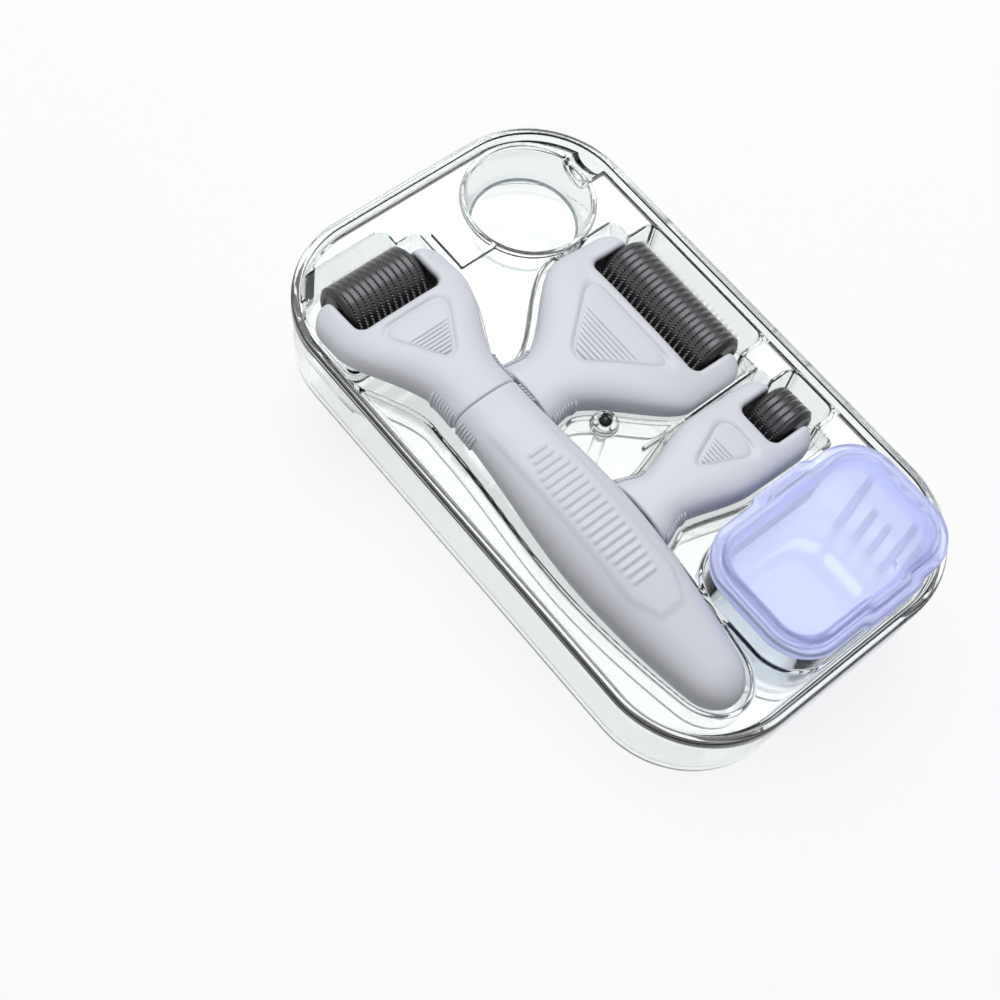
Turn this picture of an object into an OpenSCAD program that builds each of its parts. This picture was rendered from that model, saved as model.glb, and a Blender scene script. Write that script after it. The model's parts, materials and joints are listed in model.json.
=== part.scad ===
// Derma roller set: a roller with its face head, a spare body head, a spare
// eye head and a disinfecting tank, lying in a clear case. Millimetres, +Z up,
// the long side of the case along Y, origin at the middle of its underside.

/* [Case] */
// Length of the case along Y
case_l = 170; // [160:1:190]
// Width of the case along X
case_w = 101; // [101:1:120]
// Height of the rim over the table
case_h = 25; // [25:0.5:30]
// Corner radius of the rim seen from above
case_r = 28; // [20:1:29]
// Thickness of the case's walls
case_wall = 1.5; // [1.2:0.1:1.5]
// Thickness of the case's floor
case_floor = 1.8; // [1.2:0.1:2.4]
// Height of the lip around the rim
lip_h = 4; // [2:0.5:8]
// How far the lip stands out from the wall
lip_out = 0.8; // [0.4:0.1:0.8]
// Rounding of the case's lower edge
foot_r = 4; // [2:0.5:6]

/* [Tray] */
// Depth of the tray's deck below the rim
deck_drop = 2; // [1:0.5:4]
// Thickness of the deck
deck_t = 1.2; // [0.8:0.1:2]
// Thickness of the pocket walls
tray_wall = 0.9; // [0.6:0.1:1]
// Gap between the tray and the case
tray_clear = 0.2; // [0.1:0.05:0.4]
// Room around the pieces in their pockets
pocket_clear = 1.3; // [1:0.1:1.6]
// Depth of the pockets below the rim
pocket_depth = 11.4; // [10.5:0.1:12.5]
// Depth of the drum troughs below the rim
trough_depth = 17; // [16.6:0.1:18]
// Room beyond a drum at the far side of its trough
trough_far = 3.4; // [2:0.1:4]
// Room beside a drum at the ends of its trough
trough_side = 2.2; // [1.5:0.1:3]
// Gap between a resting piece and its saddle
seat_gap = 0.3; // [0.1:0.05:0.5]
// Width of a saddle rib
saddle_w = 8; // [5:0.5:10]
// Thickness of a saddle rib
saddle_t = 2; // [1:0.5:4]
// Radius of the round well at the deck
well_r = 17; // [14:0.5:17.5]
// Radius of the round well at its foot
well_foot_r = 14.2; // [10:0.1:16]
// Depth of the round well below the deck
well_depth = 11; // [6:0.5:16]
// Middle of the round well along X
well_x = 24.2; // [23:0.1:25]
// Middle of the round well along Y
well_y = 62.2; // [62:0.1:63]
// Radius of the small cradle
cradle_r = 4.2; // [3:0.1:4.5]
// Length of the small cradle along X
cradle_l = 6.6; // [5:0.1:7]
// Middle of the small cradle along Y
cradle_y = 62.4; // [61:0.1:63]
// Height of the ridges over the deck
ridge_h = 1.4; // [0.6:0.1:1.8]
// Radius of the locating post
post_r = 1.7; // [1.2:0.1:2.2]
// Wall of the collar round the locating post
collar_wall = 1.6; // [1:0.1:2]
// Height of that collar over the deck
collar_h = 1.6; // [1:0.1:2.5]
// Place of the locating post along X
post_x = -3.8; // [-5:0.1:-3]
// Place of the locating post along Y
post_y = -0.6; // [-2:0.1:-0.4]

/* [Handle] */
// Length of the handle from the seam to its tip
handle_l = 93.2; // [80:0.5:94]
// Width of the neck where a head meets the handle
neck_w = 19.2; // [17:0.1:20]
// Thickness of that neck
neck_t = 10.8; // [9.5:0.1:12]
// Greatest width of the grip
grip_w = 24.4; // [22:0.1:24.6]
// Greatest thickness of the grip
grip_t = 17; // [13:0.1:17.4]
// Distance of the widest place from the seam
grip_at = 45; // [35:1:50]
// Width of the tip before it rounds off
tip_w = 12.4; // [12:0.1:16]
// Thickness of the tip before it rounds off
tip_t = 11.2; // [9:0.1:12]
// Length of the rounded tip
tip_round = 8; // [6:0.5:14]
// How far the tip lies below the neck
handle_drop = 7; // [4:0.1:7]
// Height of the neck's middle over the rim
neck_rise = 4.3; // [3.4:0.1:5.9]
// Place of the handle's middle line along X
roller_x = -27.5; // [-27.7:0.1:-27.3]
// Place of the seam along Y
seam_y = 18.6; // [18.4:0.1:19.4]
// Count of the grip ribs
rib_count = 19; // [9:1:19]
// Distance between grip ribs
rib_pitch = 2.3; // [2:0.1:2.4]
// Length of a grip rib
rib_l = 9.5; // [6:0.5:11]
// Thickness of a grip rib
rib_t = 1.2; // [0.8:0.1:1.6]
// How far a grip rib stands out of the grip
rib_h = 0.35; // [0.2:0.05:0.6]
// Distance of the first grip rib from the seam
rib_start = 19; // [16:0.5:22]

/* [Connector] */
// Width of the spigot
spigot_w = 10; // [8:0.1:12]
// Thickness of the spigot
spigot_t = 5; // [4.4:0.1:6]
// Length of the spigot outside the handle
spigot_l = 4.6; // [3.6:0.1:4.8]
// Length of the plug inside the handle
plug_l = 10; // [6:0.5:14]
// Gap round the spigot in a head's socket
spigot_clear = 0.12; // [0.08:0.01:0.2]
// Depth of a socket beyond the spigot's end
socket_spare = 0.6; // [0.3:0.1:1.5]
// Gap at the seam between handle and head
seam_gap = 0.15; // [0.05:0.05:0.3]

/* [Heads] */
// Thickness of the fork's arms
arm_t = 11.4; // [10:0.1:12]
// How far the arms lie below the neck
arm_drop = 3.2; // [2:0.1:4]
// How far the axles lie below the neck
axle_drop = 5.6; // [5:0.1:6]
// Rounding of the arms' tips seen from above
arm_round = 7; // [5:0.1:8]
// Rounding of the arms' tips seen from the side
arm_nose = 4; // [2:0.1:5]
// Corner radius of the drum openings
opening_r = 2.6; // [1.5:0.1:3]
// Distance from an axle to the arms' tips
axle_to_tip = 3.4; // [3:0.1:4]
// Room between a needle tip and the opening's inner edge
opening_gap = 1.1; // [0.8:0.1:1.5]
// Distance of the neck's narrow place from the seam
waist_at = 8; // [6:0.5:9]

// Width of the face head
face_w = 39.4; // [36:0.1:39.6]
// Width of the face head's waist
face_waist = 18.8; // [16:0.1:19.2]
// Distance from the seam to the face axle
face_axle = 43; // [42:0.1:43.5]
// Distance from the seam to the full width of the face head
face_flare = 34; // [30:0.5:36]

// Width of the body head
body_w = 53.6; // [50:0.1:54]
// Width of the body head's waist
body_waist = 17.2; // [15:0.1:19]
// Distance from the seam to the body axle
body_axle = 50.1; // [48.7:0.1:50.3]
// Distance from the seam to the full width of the body head
body_flare = 34; // [30:0.5:36]
// Place of the body head's middle line along Y
body_y = 15.9; // [15.6:0.1:16.2]
// Place of the body head's neck along X
body_x = -16.3; // [-16.4:0.1:-16]

// Width of the eye head
eye_w = 24.2; // [22:0.1:24.4]
// Width of the eye head's waist
eye_waist = 14.4; // [13:0.1:17]
// Distance from the seam to the eye axle
eye_axle = 49.5; // [47.9:0.1:49.7]
// Distance from the seam to the full width of the eye head
eye_flare = 28; // [26:0.5:32]
// Place of the eye head's middle line along Y
eye_y = -25; // [-25.2:0.1:-24.8]
// Place of the eye head's neck along X
eye_x = -15; // [-15.1:0.1:-14.8]
// Height of the spare heads' necks over the rim
spare_rise = -0.8; // [-1.4:0.1:0.6]

/* [Drums] */
// Radius of the drums' plastic surface
drum_r = 8.2; // [7:0.1:8.4]
// Distance between needle discs
disc_pitch = 1.85; // [1.6:0.05:1.9]
// Thickness of a needle disc
disc_t = 0.25; // [0.15:0.05:0.4]
// Needles on each disc
needles = 60; // [12:1:60]
// Depth of the gaps between needles below the drum's surface
needle_root = 0.5; // [0.2:0.1:1]
// Needle discs on the face drum
face_discs = 12; // [4:1:12]
// Needle length on the face drum
face_needle = 1; // [0.2:0.1:1.2]
// Needle discs on the body drum
body_discs = 20; // [6:1:20]
// Needle length on the body drum
body_needle = 1.5; // [0.2:0.1:1.6]
// Needle discs on the eye drum
eye_discs = 5; // [3:1:5]
// Needle length on the eye drum
eye_needle = 0.5; // [0.2:0.1:1]
// Width of a drum's end cap
cap_w = 1.7; // [1.2:0.1:2.2]
// Chamfer of a drum's end cap
cap_chamfer = 1.1; // [0.5:0.1:1.4]
// Room between a drum's end and the arm
drum_side = 0.9; // [0.4:0.1:1]
// Radius of the axles
axle_r = 1; // [0.8:0.05:1.25]
// Depth of an axle's seat in an arm
axle_seat = 3; // [2:0.1:3.4]
// Running gap between an axle and its core
axle_clear = 0.05; // [0.02:0.01:0.08]
// Outer radius of the cores
core_r = 3; // [2:0.1:4]

/* [Tank] */
// Length of the lid along X
lid_l = 57.2; // [50:0.1:57.4]
// Room between the lid and the case's end
lid_end = 4.3; // [4.1:0.1:6]
// Room between the lid and the eye head
lid_eye = 4.4; // [4.2:0.1:6.8]
// Corner radius of the lid
lid_r = 12.5; // [10.5:0.1:14]
// Middle of the lid along X
lid_x = 13.2; // [13:0.1:13.6]
// Height of the lid's lower edge over the rim
lid_rise = 5.5; // [4:0.1:8]
// Height of the lid's skirt
skirt_h = 3.2; // [2:0.1:5]
// Height of the raised top over the skirt
plateau_h = 2.6; // [1:0.1:4]
// Step from the skirt to the raised top
plateau_step = 2.6; // [1.5:0.1:4]
// Thickness of the lid
lid_t = 1.2; // [0.8:0.1:1.6]
// Length of the snap tabs
tab_l = 21; // [10:0.5:26]
// How far the snap tabs stand out
tab_out = 1.2; // [0.6:0.1:1.4]
// Middle of the snap tabs along X from the lid's middle
tab_at = 2.4; // [-6:0.1:6]
// Overhang of the lid over the tank's wall
lid_over = 1.9; // [1.6:0.1:2.6]
// Gap between lid and tank
lid_clear = 0.3; // [0.2:0.05:0.5]
// Depth of the sealing lip inside the tank
seal_h = 4; // [2:0.1:6]
// Wall of the tank
tank_wall = 1.5; // [1:0.1:2]
// Thickness of the guide ribs on the tank's end wall
guide_t = 2; // [0.8:0.1:2]
// Depth of the guide ribs at the tank's floor
guide_foot = 4.5; // [2:0.1:6]
// Depth of the guide ribs at their top
guide_top = 0.8; // [0.4:0.1:2]
// Height of the short guide ribs
guide_short = 13.5; // [4:0.5:16]
// Distance of the short guide ribs from the tank's middle line
guide_in = 2.4; // [1.5:0.1:4]
// Distance of the tall guide ribs from the tank's middle line
guide_out = 8; // [6:0.1:11]

/* [Hidden] */
$fn = 96;
eps = 0.01;
ring_n = 36;
loft_steps = 16;
round_steps = 5;
section_pow = 2.5;
arm_pow = 3.2;
tip_pow = 2.2;
taper_pow = 1.8;
// Even part of the handle's arch, the rest is eased
arch_even = 0.35;
// Where a head starts to widen before its waist, and to drop along its length
flare_lead = 3;
drop_from = 0.4;
// Places of the saddles along the handle and along a head's flare
saddle_at = [0.16, 0.82];
head_saddle_at = 0.62;
// Length of the first grip rib, and how much longer each next one is
first_rib = 0.6;
rib_grow = 0.13;
// Part of the well's radius from its middle to the ridge
ridge_at = 0.4;

// Heights that the pieces share
deck_z = case_h - deck_drop;
pocket_z = case_h - pocket_depth;
trough_z = case_h - trough_depth;
roller_z = case_h + neck_rise;
spare_z = case_h + spare_rise;
lid_z = case_h + lid_rise;
tank_z = case_floor + tray_wall;

// Outlines of the case and the tray
body_in = lip_out + case_wall;
tray_in = body_in + tray_clear;
skirt_in = tray_in + tray_wall;

// A head's sizes: neck, waist, width, flare, axle, discs, needle
face = [neck_w, face_waist, face_w, face_flare, face_axle, face_discs, face_needle];
body = [neck_w, body_waist, body_w, body_flare, body_axle, body_discs, body_needle];
eye = [neck_w, eye_waist, eye_w, eye_flare, eye_axle, eye_discs, eye_needle];
pull = spigot_l + seam_gap;
socket_l = spigot_l + socket_spare;

// Thin wall between the two spare heads
divider_y = (body_y - body_w / 2 + eye_y + eye_w / 2) / 2;
divider_x = body_x + body_axle + axle_to_tip + pocket_clear;

// The lid fills the room between the case's end and the eye head, and the tank follows it
lid_w = eye_y - eye_w / 2 - lid_eye + case_l / 2 - lid_end;
lid_y = lid_end + lid_w / 2 - case_l / 2;
tank_in = lid_over + lid_clear;
tank_l = lid_l - 2 * tank_in;
tank_w = lid_w - 2 * tank_in;
tank_r = lid_r - tank_in;
tank_top = lid_z + skirt_h - lid_t - lid_clear;

// Smooth step from 0 to 1
function ease(t) = let (u = min(1, max(0, t))) u * u * (3 - 2 * u);
// Power that keeps its sign
function spow(v, p) = sign(v) * pow(abs(v), p);
// How far an arc of radius r has come in, d before its end
function arc_in(d, r) = d >= r ? 0 : r - sqrt(max(0, r * r - pow(r - d, 2)));

// Share of the taper from the grip to the tip
function taper(s) = pow((s - grip_at) / (handle_l - grip_at), taper_pow);
// Half width of the handle, s from the seam, grown by c
function handle_plain(s) = s < grip_at
    ? neck_w / 2 + (grip_w - neck_w) / 2 * ease(s / grip_at)
    : grip_w / 2 - (grip_w - tip_w) / 2 * taper(s);
function handle_end(s, c) = let (u = min(1, max(0, (s - handle_l + tip_round) / (tip_round + c))))
    pow(max(0, 1 - pow(u, tip_pow)), 1 / tip_pow);
function handle_half(s, c = 0) = (handle_plain(min(s, handle_l)) + c) * handle_end(s, c);
// Half thickness and middle height of the handle
function handle_thick(s) = (s < grip_at
    ? neck_t / 2 + (grip_t - neck_t) / 2 * ease(s / grip_at)
    : grip_t / 2 - (grip_t - tip_t) / 2 * taper(s)) * handle_end(s, 0);
function handle_mid(s) = let (t = s / handle_l)
    roller_z - handle_drop * (arch_even * t + (1 - arch_even) * ease(t));

// Half width, half thickness and middle height of a head
function head_len(h) = h[4] + axle_to_tip;
function head_plain(h, s) = h[1] / 2 + (h[0] - h[1]) / 2 * (1 - ease(s / waist_at))
    + (h[2] - h[1]) / 2 * ease((s - waist_at + flare_lead) / (h[3] - waist_at + flare_lead));
function head_half(h, s) = head_plain(h, s) - arc_in(head_len(h) - s, arm_round);
function head_thick(h, s) = neck_t / 2 + (arm_t - neck_t) / 2 * ease(s / h[3])
    - arc_in(head_len(h) - s, arm_nose);
function head_mid(h, s) = -arm_drop * ease((s - h[4] * drop_from) / (h[4] * (1 - drop_from)));
// Length of a drum and of the opening that it turns in
function drum_len(h) = (h[5] - 1) * disc_pitch + disc_t + 2 * cap_w;
function opening_len(h) = drum_len(h) + 2 * drum_side;
function needle_r(h) = drum_r + h[6];

// One ring of a loft, round the Y axis
function ring(y, x, z, a, b, p) = [for (j = [0:ring_n - 1]) let (th = 360 * j / ring_n)
    [x + a * spow(cos(th), 2 / p), y, z + b * spow(sin(th), 2 / p)]];

// Solid through rings of equal count, in the order of rising Y
module loft(rings) {
    n = len(rings[0]);
    last = len(rings) - 1;
    faces = concat(
        [[for (j = [n - 1:-1:0]) j]],
        [for (i = [0:last - 1]) for (j = [0:n - 1]) let (k = (j + 1) % n)
            let (a = i * n, b = a + n) each [[a + j, a + k, b + k], [a + j, b + k, b + j]]],
        [[for (j = [0:n - 1]) last * n + j]]
    );
    polyhedron(points = [for (r = rings) each r], faces = faces, convexity = 4);
}

// Rectangle with round corners, middle at the origin
module rounded(w, l, r) {
    square([w - 2 * r, l], center = true);
    square([w, l - 2 * r], center = true);
    for (x = [-1, 1]) for (y = [-1, 1])
        translate([x * (w / 2 - r), y * (l / 2 - r)]) circle(r);
}

// The case seen from above, drawn in by d
module case_outline(d) {
    rounded(case_w - 2 * d, case_l - 2 * d, case_r - d);
}

// Upright slot with round ends along Y, the spigot's section
module stadium(w, t, l) {
    rotate([-90, 0, 0]) linear_extrude(l) {
        square([w - t, t], center = true);
        for (x = [-1, 1]) translate([x * (w - t) / 2, 0]) circle(t / 2);
    }
}

// Handle seen from above, grown by c
module handle_outline(c) {
    far = handle_l + c;
    count = loft_steps * 2;
    side = [for (i = [0:count]) let (s = far * sin(90 * i / count)) [handle_half(s, c), -s]];
    polygon(concat(side, [for (i = [len(side) - 2:-1:0]) [-side[i][0], side[i][1]]]));
}

// A head seen from above, grown by c, with room to slide by far
module head_outline(h, c, far = 0) {
    full = head_len(h) + c + far;
    side = [for (i = [0:loft_steps]) let (s = h[3] * i / loft_steps) [head_plain(h, s) + c, s]];
    left = [for (i = [len(side) - 1:-1:0]) [-side[i][0], side[i][1]]];
    polygon(concat([[h[0] / 2 + c, -c]], side, [[h[2] / 2 + c, full], [-h[2] / 2 - c, full]], left,
        [[-h[0] / 2 - c, -c]]));
}

// Trough under a drum, seen from above, grown by c
module trough_outline(h, c, far) {
    w = drum_len(h) + 2 * trough_side + 2 * c;
    near = needle_r(h) + opening_gap + c;
    l = near + needle_r(h) + max(far, trough_far) + c;
    translate([0, h[4] - near + l / 2]) rounded(w, l, opening_r);
}

// Where the handle and the heads lie
module at_roller() { translate([roller_x, seam_y, 0]) children(); }
module at_face() { translate([roller_x, seam_y + seam_gap, 0]) children(); }
module at_body() { translate([body_x, body_y, 0]) rotate(-90) children(); }
module at_eye() { translate([eye_x, eye_y, 0]) rotate(-90) children(); }
module at_tank() { translate([lid_x, lid_y, 0]) children(); }

// Pockets at three depths, grown by c
module head_pockets(c) {
    at_roller() handle_outline(pocket_clear + c);
    at_face() head_outline(face, pocket_clear + c, pull);
    at_body() head_outline(body, pocket_clear + c);
    at_eye() head_outline(eye, pocket_clear + c);
}
module drum_pockets(c) {
    at_face() trough_outline(face, c, pull + pocket_clear);
    at_body() trough_outline(body, c, 0);
    at_eye() trough_outline(eye, c, 0);
}
module tank_pocket(c) {
    g = 2 * (pocket_clear + c);
    at_tank() rounded(tank_l + g, tank_w + g, tank_r + g / 2);
}
// Thin wall that parts the two spare heads
module divider_outline() {
    start = eye_x + eye_flare / 2;
    translate([start, divider_y - tray_wall / 2]) square([divider_x - start, tray_wall]);
}
module pockets(c, level) {
    intersection() {
        case_outline(skirt_in);
        union() {
            if (level < 1) difference() {
                head_pockets(c);
                if (c == 0) divider_outline();
            }
            if (level < 2) drum_pockets(c);
            tank_pocket(c);
        }
    }
}

// Wall of the pockets that reach down past a level
module pocket_walls(level, low, high) {
    translate([0, 0, low]) linear_extrude(high - low) difference() {
        pockets(tray_wall, level);
        pockets(0, level);
    }
}
// Floor of the pockets of one level, open over the deeper ones
module pocket_floor(level, z) {
    translate([0, 0, z - tray_wall]) linear_extrude(tray_wall) difference() {
        pockets(tray_wall, level);
        if (level < 2) pockets(0, level + 1);
    }
}

// Rib across a pocket that a piece rests on, its top at z
module saddle(x, y, z) {
    translate([x - saddle_w / 2, y - saddle_t / 2, pocket_z - eps])
        cube([saddle_w, saddle_t, z - pocket_z + eps]);
}

module case_base() {
    color([0.86, 0.9, 0.89, 0.35]) difference() {
        union() {
            hull() for (i = [0:4]) let (a = 90 * i / 4)
                translate([0, 0, foot_r * (1 - cos(a))])
                    linear_extrude(eps) case_outline(lip_out + foot_r * (1 - sin(a)));
            translate([0, 0, foot_r]) linear_extrude(case_h - foot_r) case_outline(lip_out);
            translate([0, 0, case_h - lip_h]) linear_extrude(lip_h) case_outline(0);
        }
        translate([0, 0, case_floor]) hull() for (i = [0:3]) let (a = 90 * i / 3, r = foot_r - case_wall)
            translate([0, 0, r * (1 - cos(a))])
                linear_extrude(case_h) case_outline(body_in + r * (1 - sin(a)));
    }
}

module case_tray() {
    rest_z = case_floor + foot_r - case_wall;
    foot_z = deck_z - well_depth;
    cradle_x = case_w / 2 - skirt_in - cradle_l;
    ridge_x = roller_x + face_w / 2 + pocket_clear;
    ridge_y = well_y - well_r * ridge_at;
    ridge_l = seam_y + face_axle - ridge_y;
    color([0.9, 0.94, 0.94, 0.35]) difference() {
        union() {
            // Deck with its pockets open, and the skirt round it
            translate([0, 0, deck_z - deck_t]) linear_extrude(deck_t) difference() {
                case_outline(tray_in);
                pockets(0, 0);
            }
            translate([0, 0, rest_z]) linear_extrude(deck_z - rest_z) difference() {
                case_outline(tray_in);
                case_outline(skirt_in);
            }
            // Pocket walls and floors, level by level
            pocket_walls(0, pocket_z - tray_wall, deck_z);
            pocket_floor(0, pocket_z);
            pocket_walls(1, trough_z - tray_wall, pocket_z);
            pocket_floor(1, trough_z);
            pocket_walls(2, case_floor, trough_z);
            pocket_floor(2, tank_z);
            // Saddles under the handle and the spare heads
            for (s = handle_l * saddle_at)
                saddle(roller_x, seam_y - s, handle_mid(s) - handle_thick(s) - seat_gap);
            for (h = [[body, body_x, body_y], [eye, eye_x, eye_y]])
                for (s = [waist_at, h[0][3] * head_saddle_at])
                    translate([h[1] + s, h[2], 0]) rotate(-90)
                        saddle(0, 0, spare_z + head_mid(h[0], s) - head_thick(h[0], s) - seat_gap);
            // Round well, cradle, ridges and the post's collar
            translate([well_x, well_y, foot_z])
                cylinder(h = well_depth, r1 = well_foot_r + tray_wall, r2 = well_r + tray_wall);
            translate([well_x, well_y, case_floor])
                cylinder(h = foot_z - case_floor + eps, r = well_foot_r + tray_wall);
            translate([cradle_x, cradle_y, deck_z]) rotate([0, 90, 0])
                cylinder(h = cradle_l, r = cradle_r + tray_wall);
            translate([post_x, post_y, deck_z - deck_t])
                cylinder(h = deck_t + collar_h, r = post_r + collar_wall);
            translate([0, 0, deck_z - eps]) linear_extrude(ridge_h + eps) {
                divider_outline();
                translate([ridge_x, ridge_y]) square([tray_wall, ridge_l]);
                translate([ridge_x, ridge_y]) square([well_x - well_r - ridge_x + 1, tray_wall]);
            }
        }
        translate([well_x, well_y, foot_z - eps])
            cylinder(h = well_depth + 2 * eps, r1 = well_foot_r, r2 = well_r);
        translate([well_x, well_y, case_floor - eps]) cylinder(h = foot_z - case_floor + eps, r = well_foot_r);
        translate([cradle_x + tray_wall, cradle_y, deck_z]) rotate([0, 90, 0])
            cylinder(h = cradle_l - tray_wall + eps, r = cradle_r);
        translate([cradle_x - eps, cradle_y - 2 * cradle_r, deck_z])
            cube([cradle_l + 2 * eps, 4 * cradle_r, 2 * cradle_r]);
        translate([post_x, post_y, deck_z - deck_t - eps])
            cylinder(h = deck_t + collar_h + 2 * eps, r = post_r);
        // The face head's pocket is open towards the case's wall
        translate([0, 0, pocket_z]) linear_extrude(case_h) at_face() head_outline(face, pocket_clear, pull);
    }
}

module tray_post() {
    top = deck_z + collar_h - post_r * 0.4;
    color([0.85, 0.88, 0.88, 0.4]) translate([post_x, post_y, 0]) {
        translate([0, 0, case_floor]) cylinder(h = top - case_floor, r = post_r);
        translate([0, 0, top]) rotate_extrude() intersection() {
            circle(post_r);
            square(post_r);
        }
    }
}

module handle_body() {
    flat = handle_l - tip_round;
    plain = [for (i = [0:loft_steps]) flat * i / loft_steps];
    tip = [for (i = [1:round_steps]) flat + tip_round * sin(87 * i / round_steps)];
    stations = concat(plain, tip);
    color([0.82, 0.83, 0.86]) difference() {
        union() {
            loft([for (i = [len(stations) - 1:-1:0]) let (s = stations[i])
                ring(seam_y - s, roller_x, handle_mid(s), handle_half(s), handle_thick(s), section_pow)]);
            // Grip ribs, the first few shorter
            for (i = [0:rib_count - 1]) let (s = rib_start + i * rib_pitch,
                    l = rib_l * min(1, first_rib + rib_grow * i), z = handle_mid(s) + handle_thick(s))
                translate([roller_x - l / 2, seam_y - s, z + rib_h - rib_t / 2]) rotate([0, 90, 0])
                    cylinder(h = l, r = rib_t / 2, $fn = 24);
        }
        translate([roller_x, seam_y - plug_l, roller_z]) stadium(spigot_w, spigot_t, plug_l + 1);
    }
}

module handle_plug() {
    color([0.78, 0.79, 0.82]) translate([roller_x, seam_y - plug_l, roller_z])
        stadium(spigot_w, spigot_t, plug_l + spigot_l);
}

// Fork of a head, its neck at the origin and its arms along Y
module frame(h) {
    l = head_len(h);
    plain = [for (i = [0:loft_steps]) (l - arm_round) * i / loft_steps];
    tip = [for (i = [1:round_steps]) l - arm_round + arm_round * sin(88 * i / round_steps)];
    open_at = h[4] - needle_r(h) - opening_gap;
    open_w = opening_len(h);
    difference() {
        loft([for (s = concat(plain, tip)) ring(s, 0, head_mid(h, s), head_half(h, s), head_thick(h, s),
            section_pow + (arm_pow - section_pow) * ease(s / h[3]))]);
        translate([0, open_at + l / 2, -2 * arm_t]) linear_extrude(4 * arm_t) rounded(open_w, l, opening_r);
        translate([0, -eps, 0])
            stadium(spigot_w + 2 * spigot_clear, spigot_t + 2 * spigot_clear, socket_l + eps);
        translate([-open_w / 2 - axle_seat, h[4], -axle_drop]) rotate([0, 90, 0])
            cylinder(h = open_w + 2 * axle_seat, r = axle_r);
    }
}

// Pieces of a head's drum, in the frame of its fork
module drum_axis(h) { translate([0, h[4], -axle_drop]) rotate([0, 90, 0]) children(); }
module axle_pin(h) {
    l = opening_len(h) + 2 * axle_seat;
    color([0.75, 0.75, 0.77]) drum_axis(h) translate([0, 0, -l / 2]) cylinder(h = l, r = axle_r);
}
module core(h) {
    l = drum_len(h) - 2 * cap_w;
    color([0.2, 0.2, 0.21]) drum_axis(h) translate([0, 0, -l / 2]) difference() {
        cylinder(h = l, r = core_r);
        translate([0, 0, -eps]) cylinder(h = l + 2 * eps, r = axle_r + axle_clear);
    }
}
module spacers(h) {
    color([0.36, 0.35, 0.36]) drum_axis(h) for (i = [0:h[5] - 2])
        translate([0, 0, (i - (h[5] - 1) / 2) * disc_pitch + disc_t / 2]) difference() {
            cylinder(h = disc_pitch - disc_t, r = drum_r);
            translate([0, 0, -eps]) cylinder(h = disc_pitch, r = core_r);
        }
}
module needle_discs(h) {
    star = [for (i = [0:2 * needles - 1]) let (r = i % 2 == 0 ? needle_r(h) : drum_r - needle_root)
        r * [cos(180 * i / needles), sin(180 * i / needles)]];
    color([0.6, 0.6, 0.62]) drum_axis(h) for (i = [0:h[5] - 1])
        translate([0, 0, (i - (h[5] - 1) / 2) * disc_pitch - disc_t / 2]) linear_extrude(disc_t)
            difference() {
                polygon(star);
                circle(core_r);
            }
}
module end_caps(h) {
    inner = drum_len(h) / 2 - cap_w;
    color([0.16, 0.16, 0.17]) drum_axis(h) for (m = [0, 1]) mirror([0, 0, m]) translate([0, 0, inner])
        rotate_extrude() polygon([[axle_r + axle_clear, 0], [drum_r, 0], [drum_r, cap_w - cap_chamfer],
            [drum_r - cap_chamfer, cap_w], [axle_r + axle_clear, cap_w]]);
}

// The same pieces of each head, placed in the case
module in_face() { at_face() translate([0, 0, roller_z]) children(); }
module in_body() { at_body() translate([0, 0, spare_z]) children(); }
module in_eye() { at_eye() translate([0, 0, spare_z]) children(); }
module face_frame() { color([0.82, 0.83, 0.86]) in_face() frame(face); }
module face_axle_pin() { in_face() axle_pin(face); }
module face_core() { in_face() core(face); }
module face_spacers() { in_face() spacers(face); }
module face_needle_discs() { in_face() needle_discs(face); }
module face_end_caps() { in_face() end_caps(face); }
module body_frame() { color([0.82, 0.83, 0.86]) in_body() frame(body); }
module body_axle_pin() { in_body() axle_pin(body); }
module body_core() { in_body() core(body); }
module body_spacers() { in_body() spacers(body); }
module body_needle_discs() { in_body() needle_discs(body); }
module body_end_caps() { in_body() end_caps(body); }
module eye_frame() { color([0.82, 0.83, 0.86]) in_eye() frame(eye); }
module eye_axle_pin() { in_eye() axle_pin(eye); }
module eye_core() { in_eye() core(eye); }
module eye_spacers() { in_eye() spacers(eye); }
module eye_needle_discs() { in_eye() needle_discs(eye); }
module eye_end_caps() { in_eye() end_caps(eye); }

// Rib that guides a head, sloping back to the tank's end wall
module guide_rib(y, h) {
    translate([tank_l / 2 - tank_wall + eps, y + guide_t / 2, tank_z + tank_wall - eps]) rotate([90, 0, 0])
        linear_extrude(guide_t) polygon([[0, 0], [-guide_foot, 0], [-guide_top, h], [0, h]]);
}

module tank() {
    guide_tall = lid_z + skirt_h - lid_t - seal_h - lid_clear - tank_z - tank_wall;
    color([0.88, 0.91, 0.92, 0.35]) at_tank() {
        difference() {
            translate([0, 0, tank_z]) linear_extrude(tank_top - tank_z) rounded(tank_l, tank_w, tank_r);
            translate([0, 0, tank_z + tank_wall]) linear_extrude(tank_top)
                rounded(tank_l - 2 * tank_wall, tank_w - 2 * tank_wall, tank_r - tank_wall);
        }
        for (m = [-1, 1]) {
            guide_rib(m * guide_in, guide_short);
            guide_rib(m * guide_out, guide_tall);
        }
    }
}

// Lid seen from above with its snap tabs, drawn in by d
module lid_outline(d) {
    lip_outline(d);
    side = lid_w / 2 - d;
    foot = tab_l / 2 - d;
    head = foot - 2 * tab_out;
    for (m = [0, 1]) mirror([0, m]) translate([tab_at, 0]) polygon([[-foot, 0], [foot, 0], [foot, side],
        [head, side + tab_out], [-head, side + tab_out], [-foot, side]]);
}

// Lid without its tabs, drawn in by d
module lip_outline(d) {
    rounded(lid_l - 2 * d, lid_w - 2 * d, lid_r - d);
}

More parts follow.
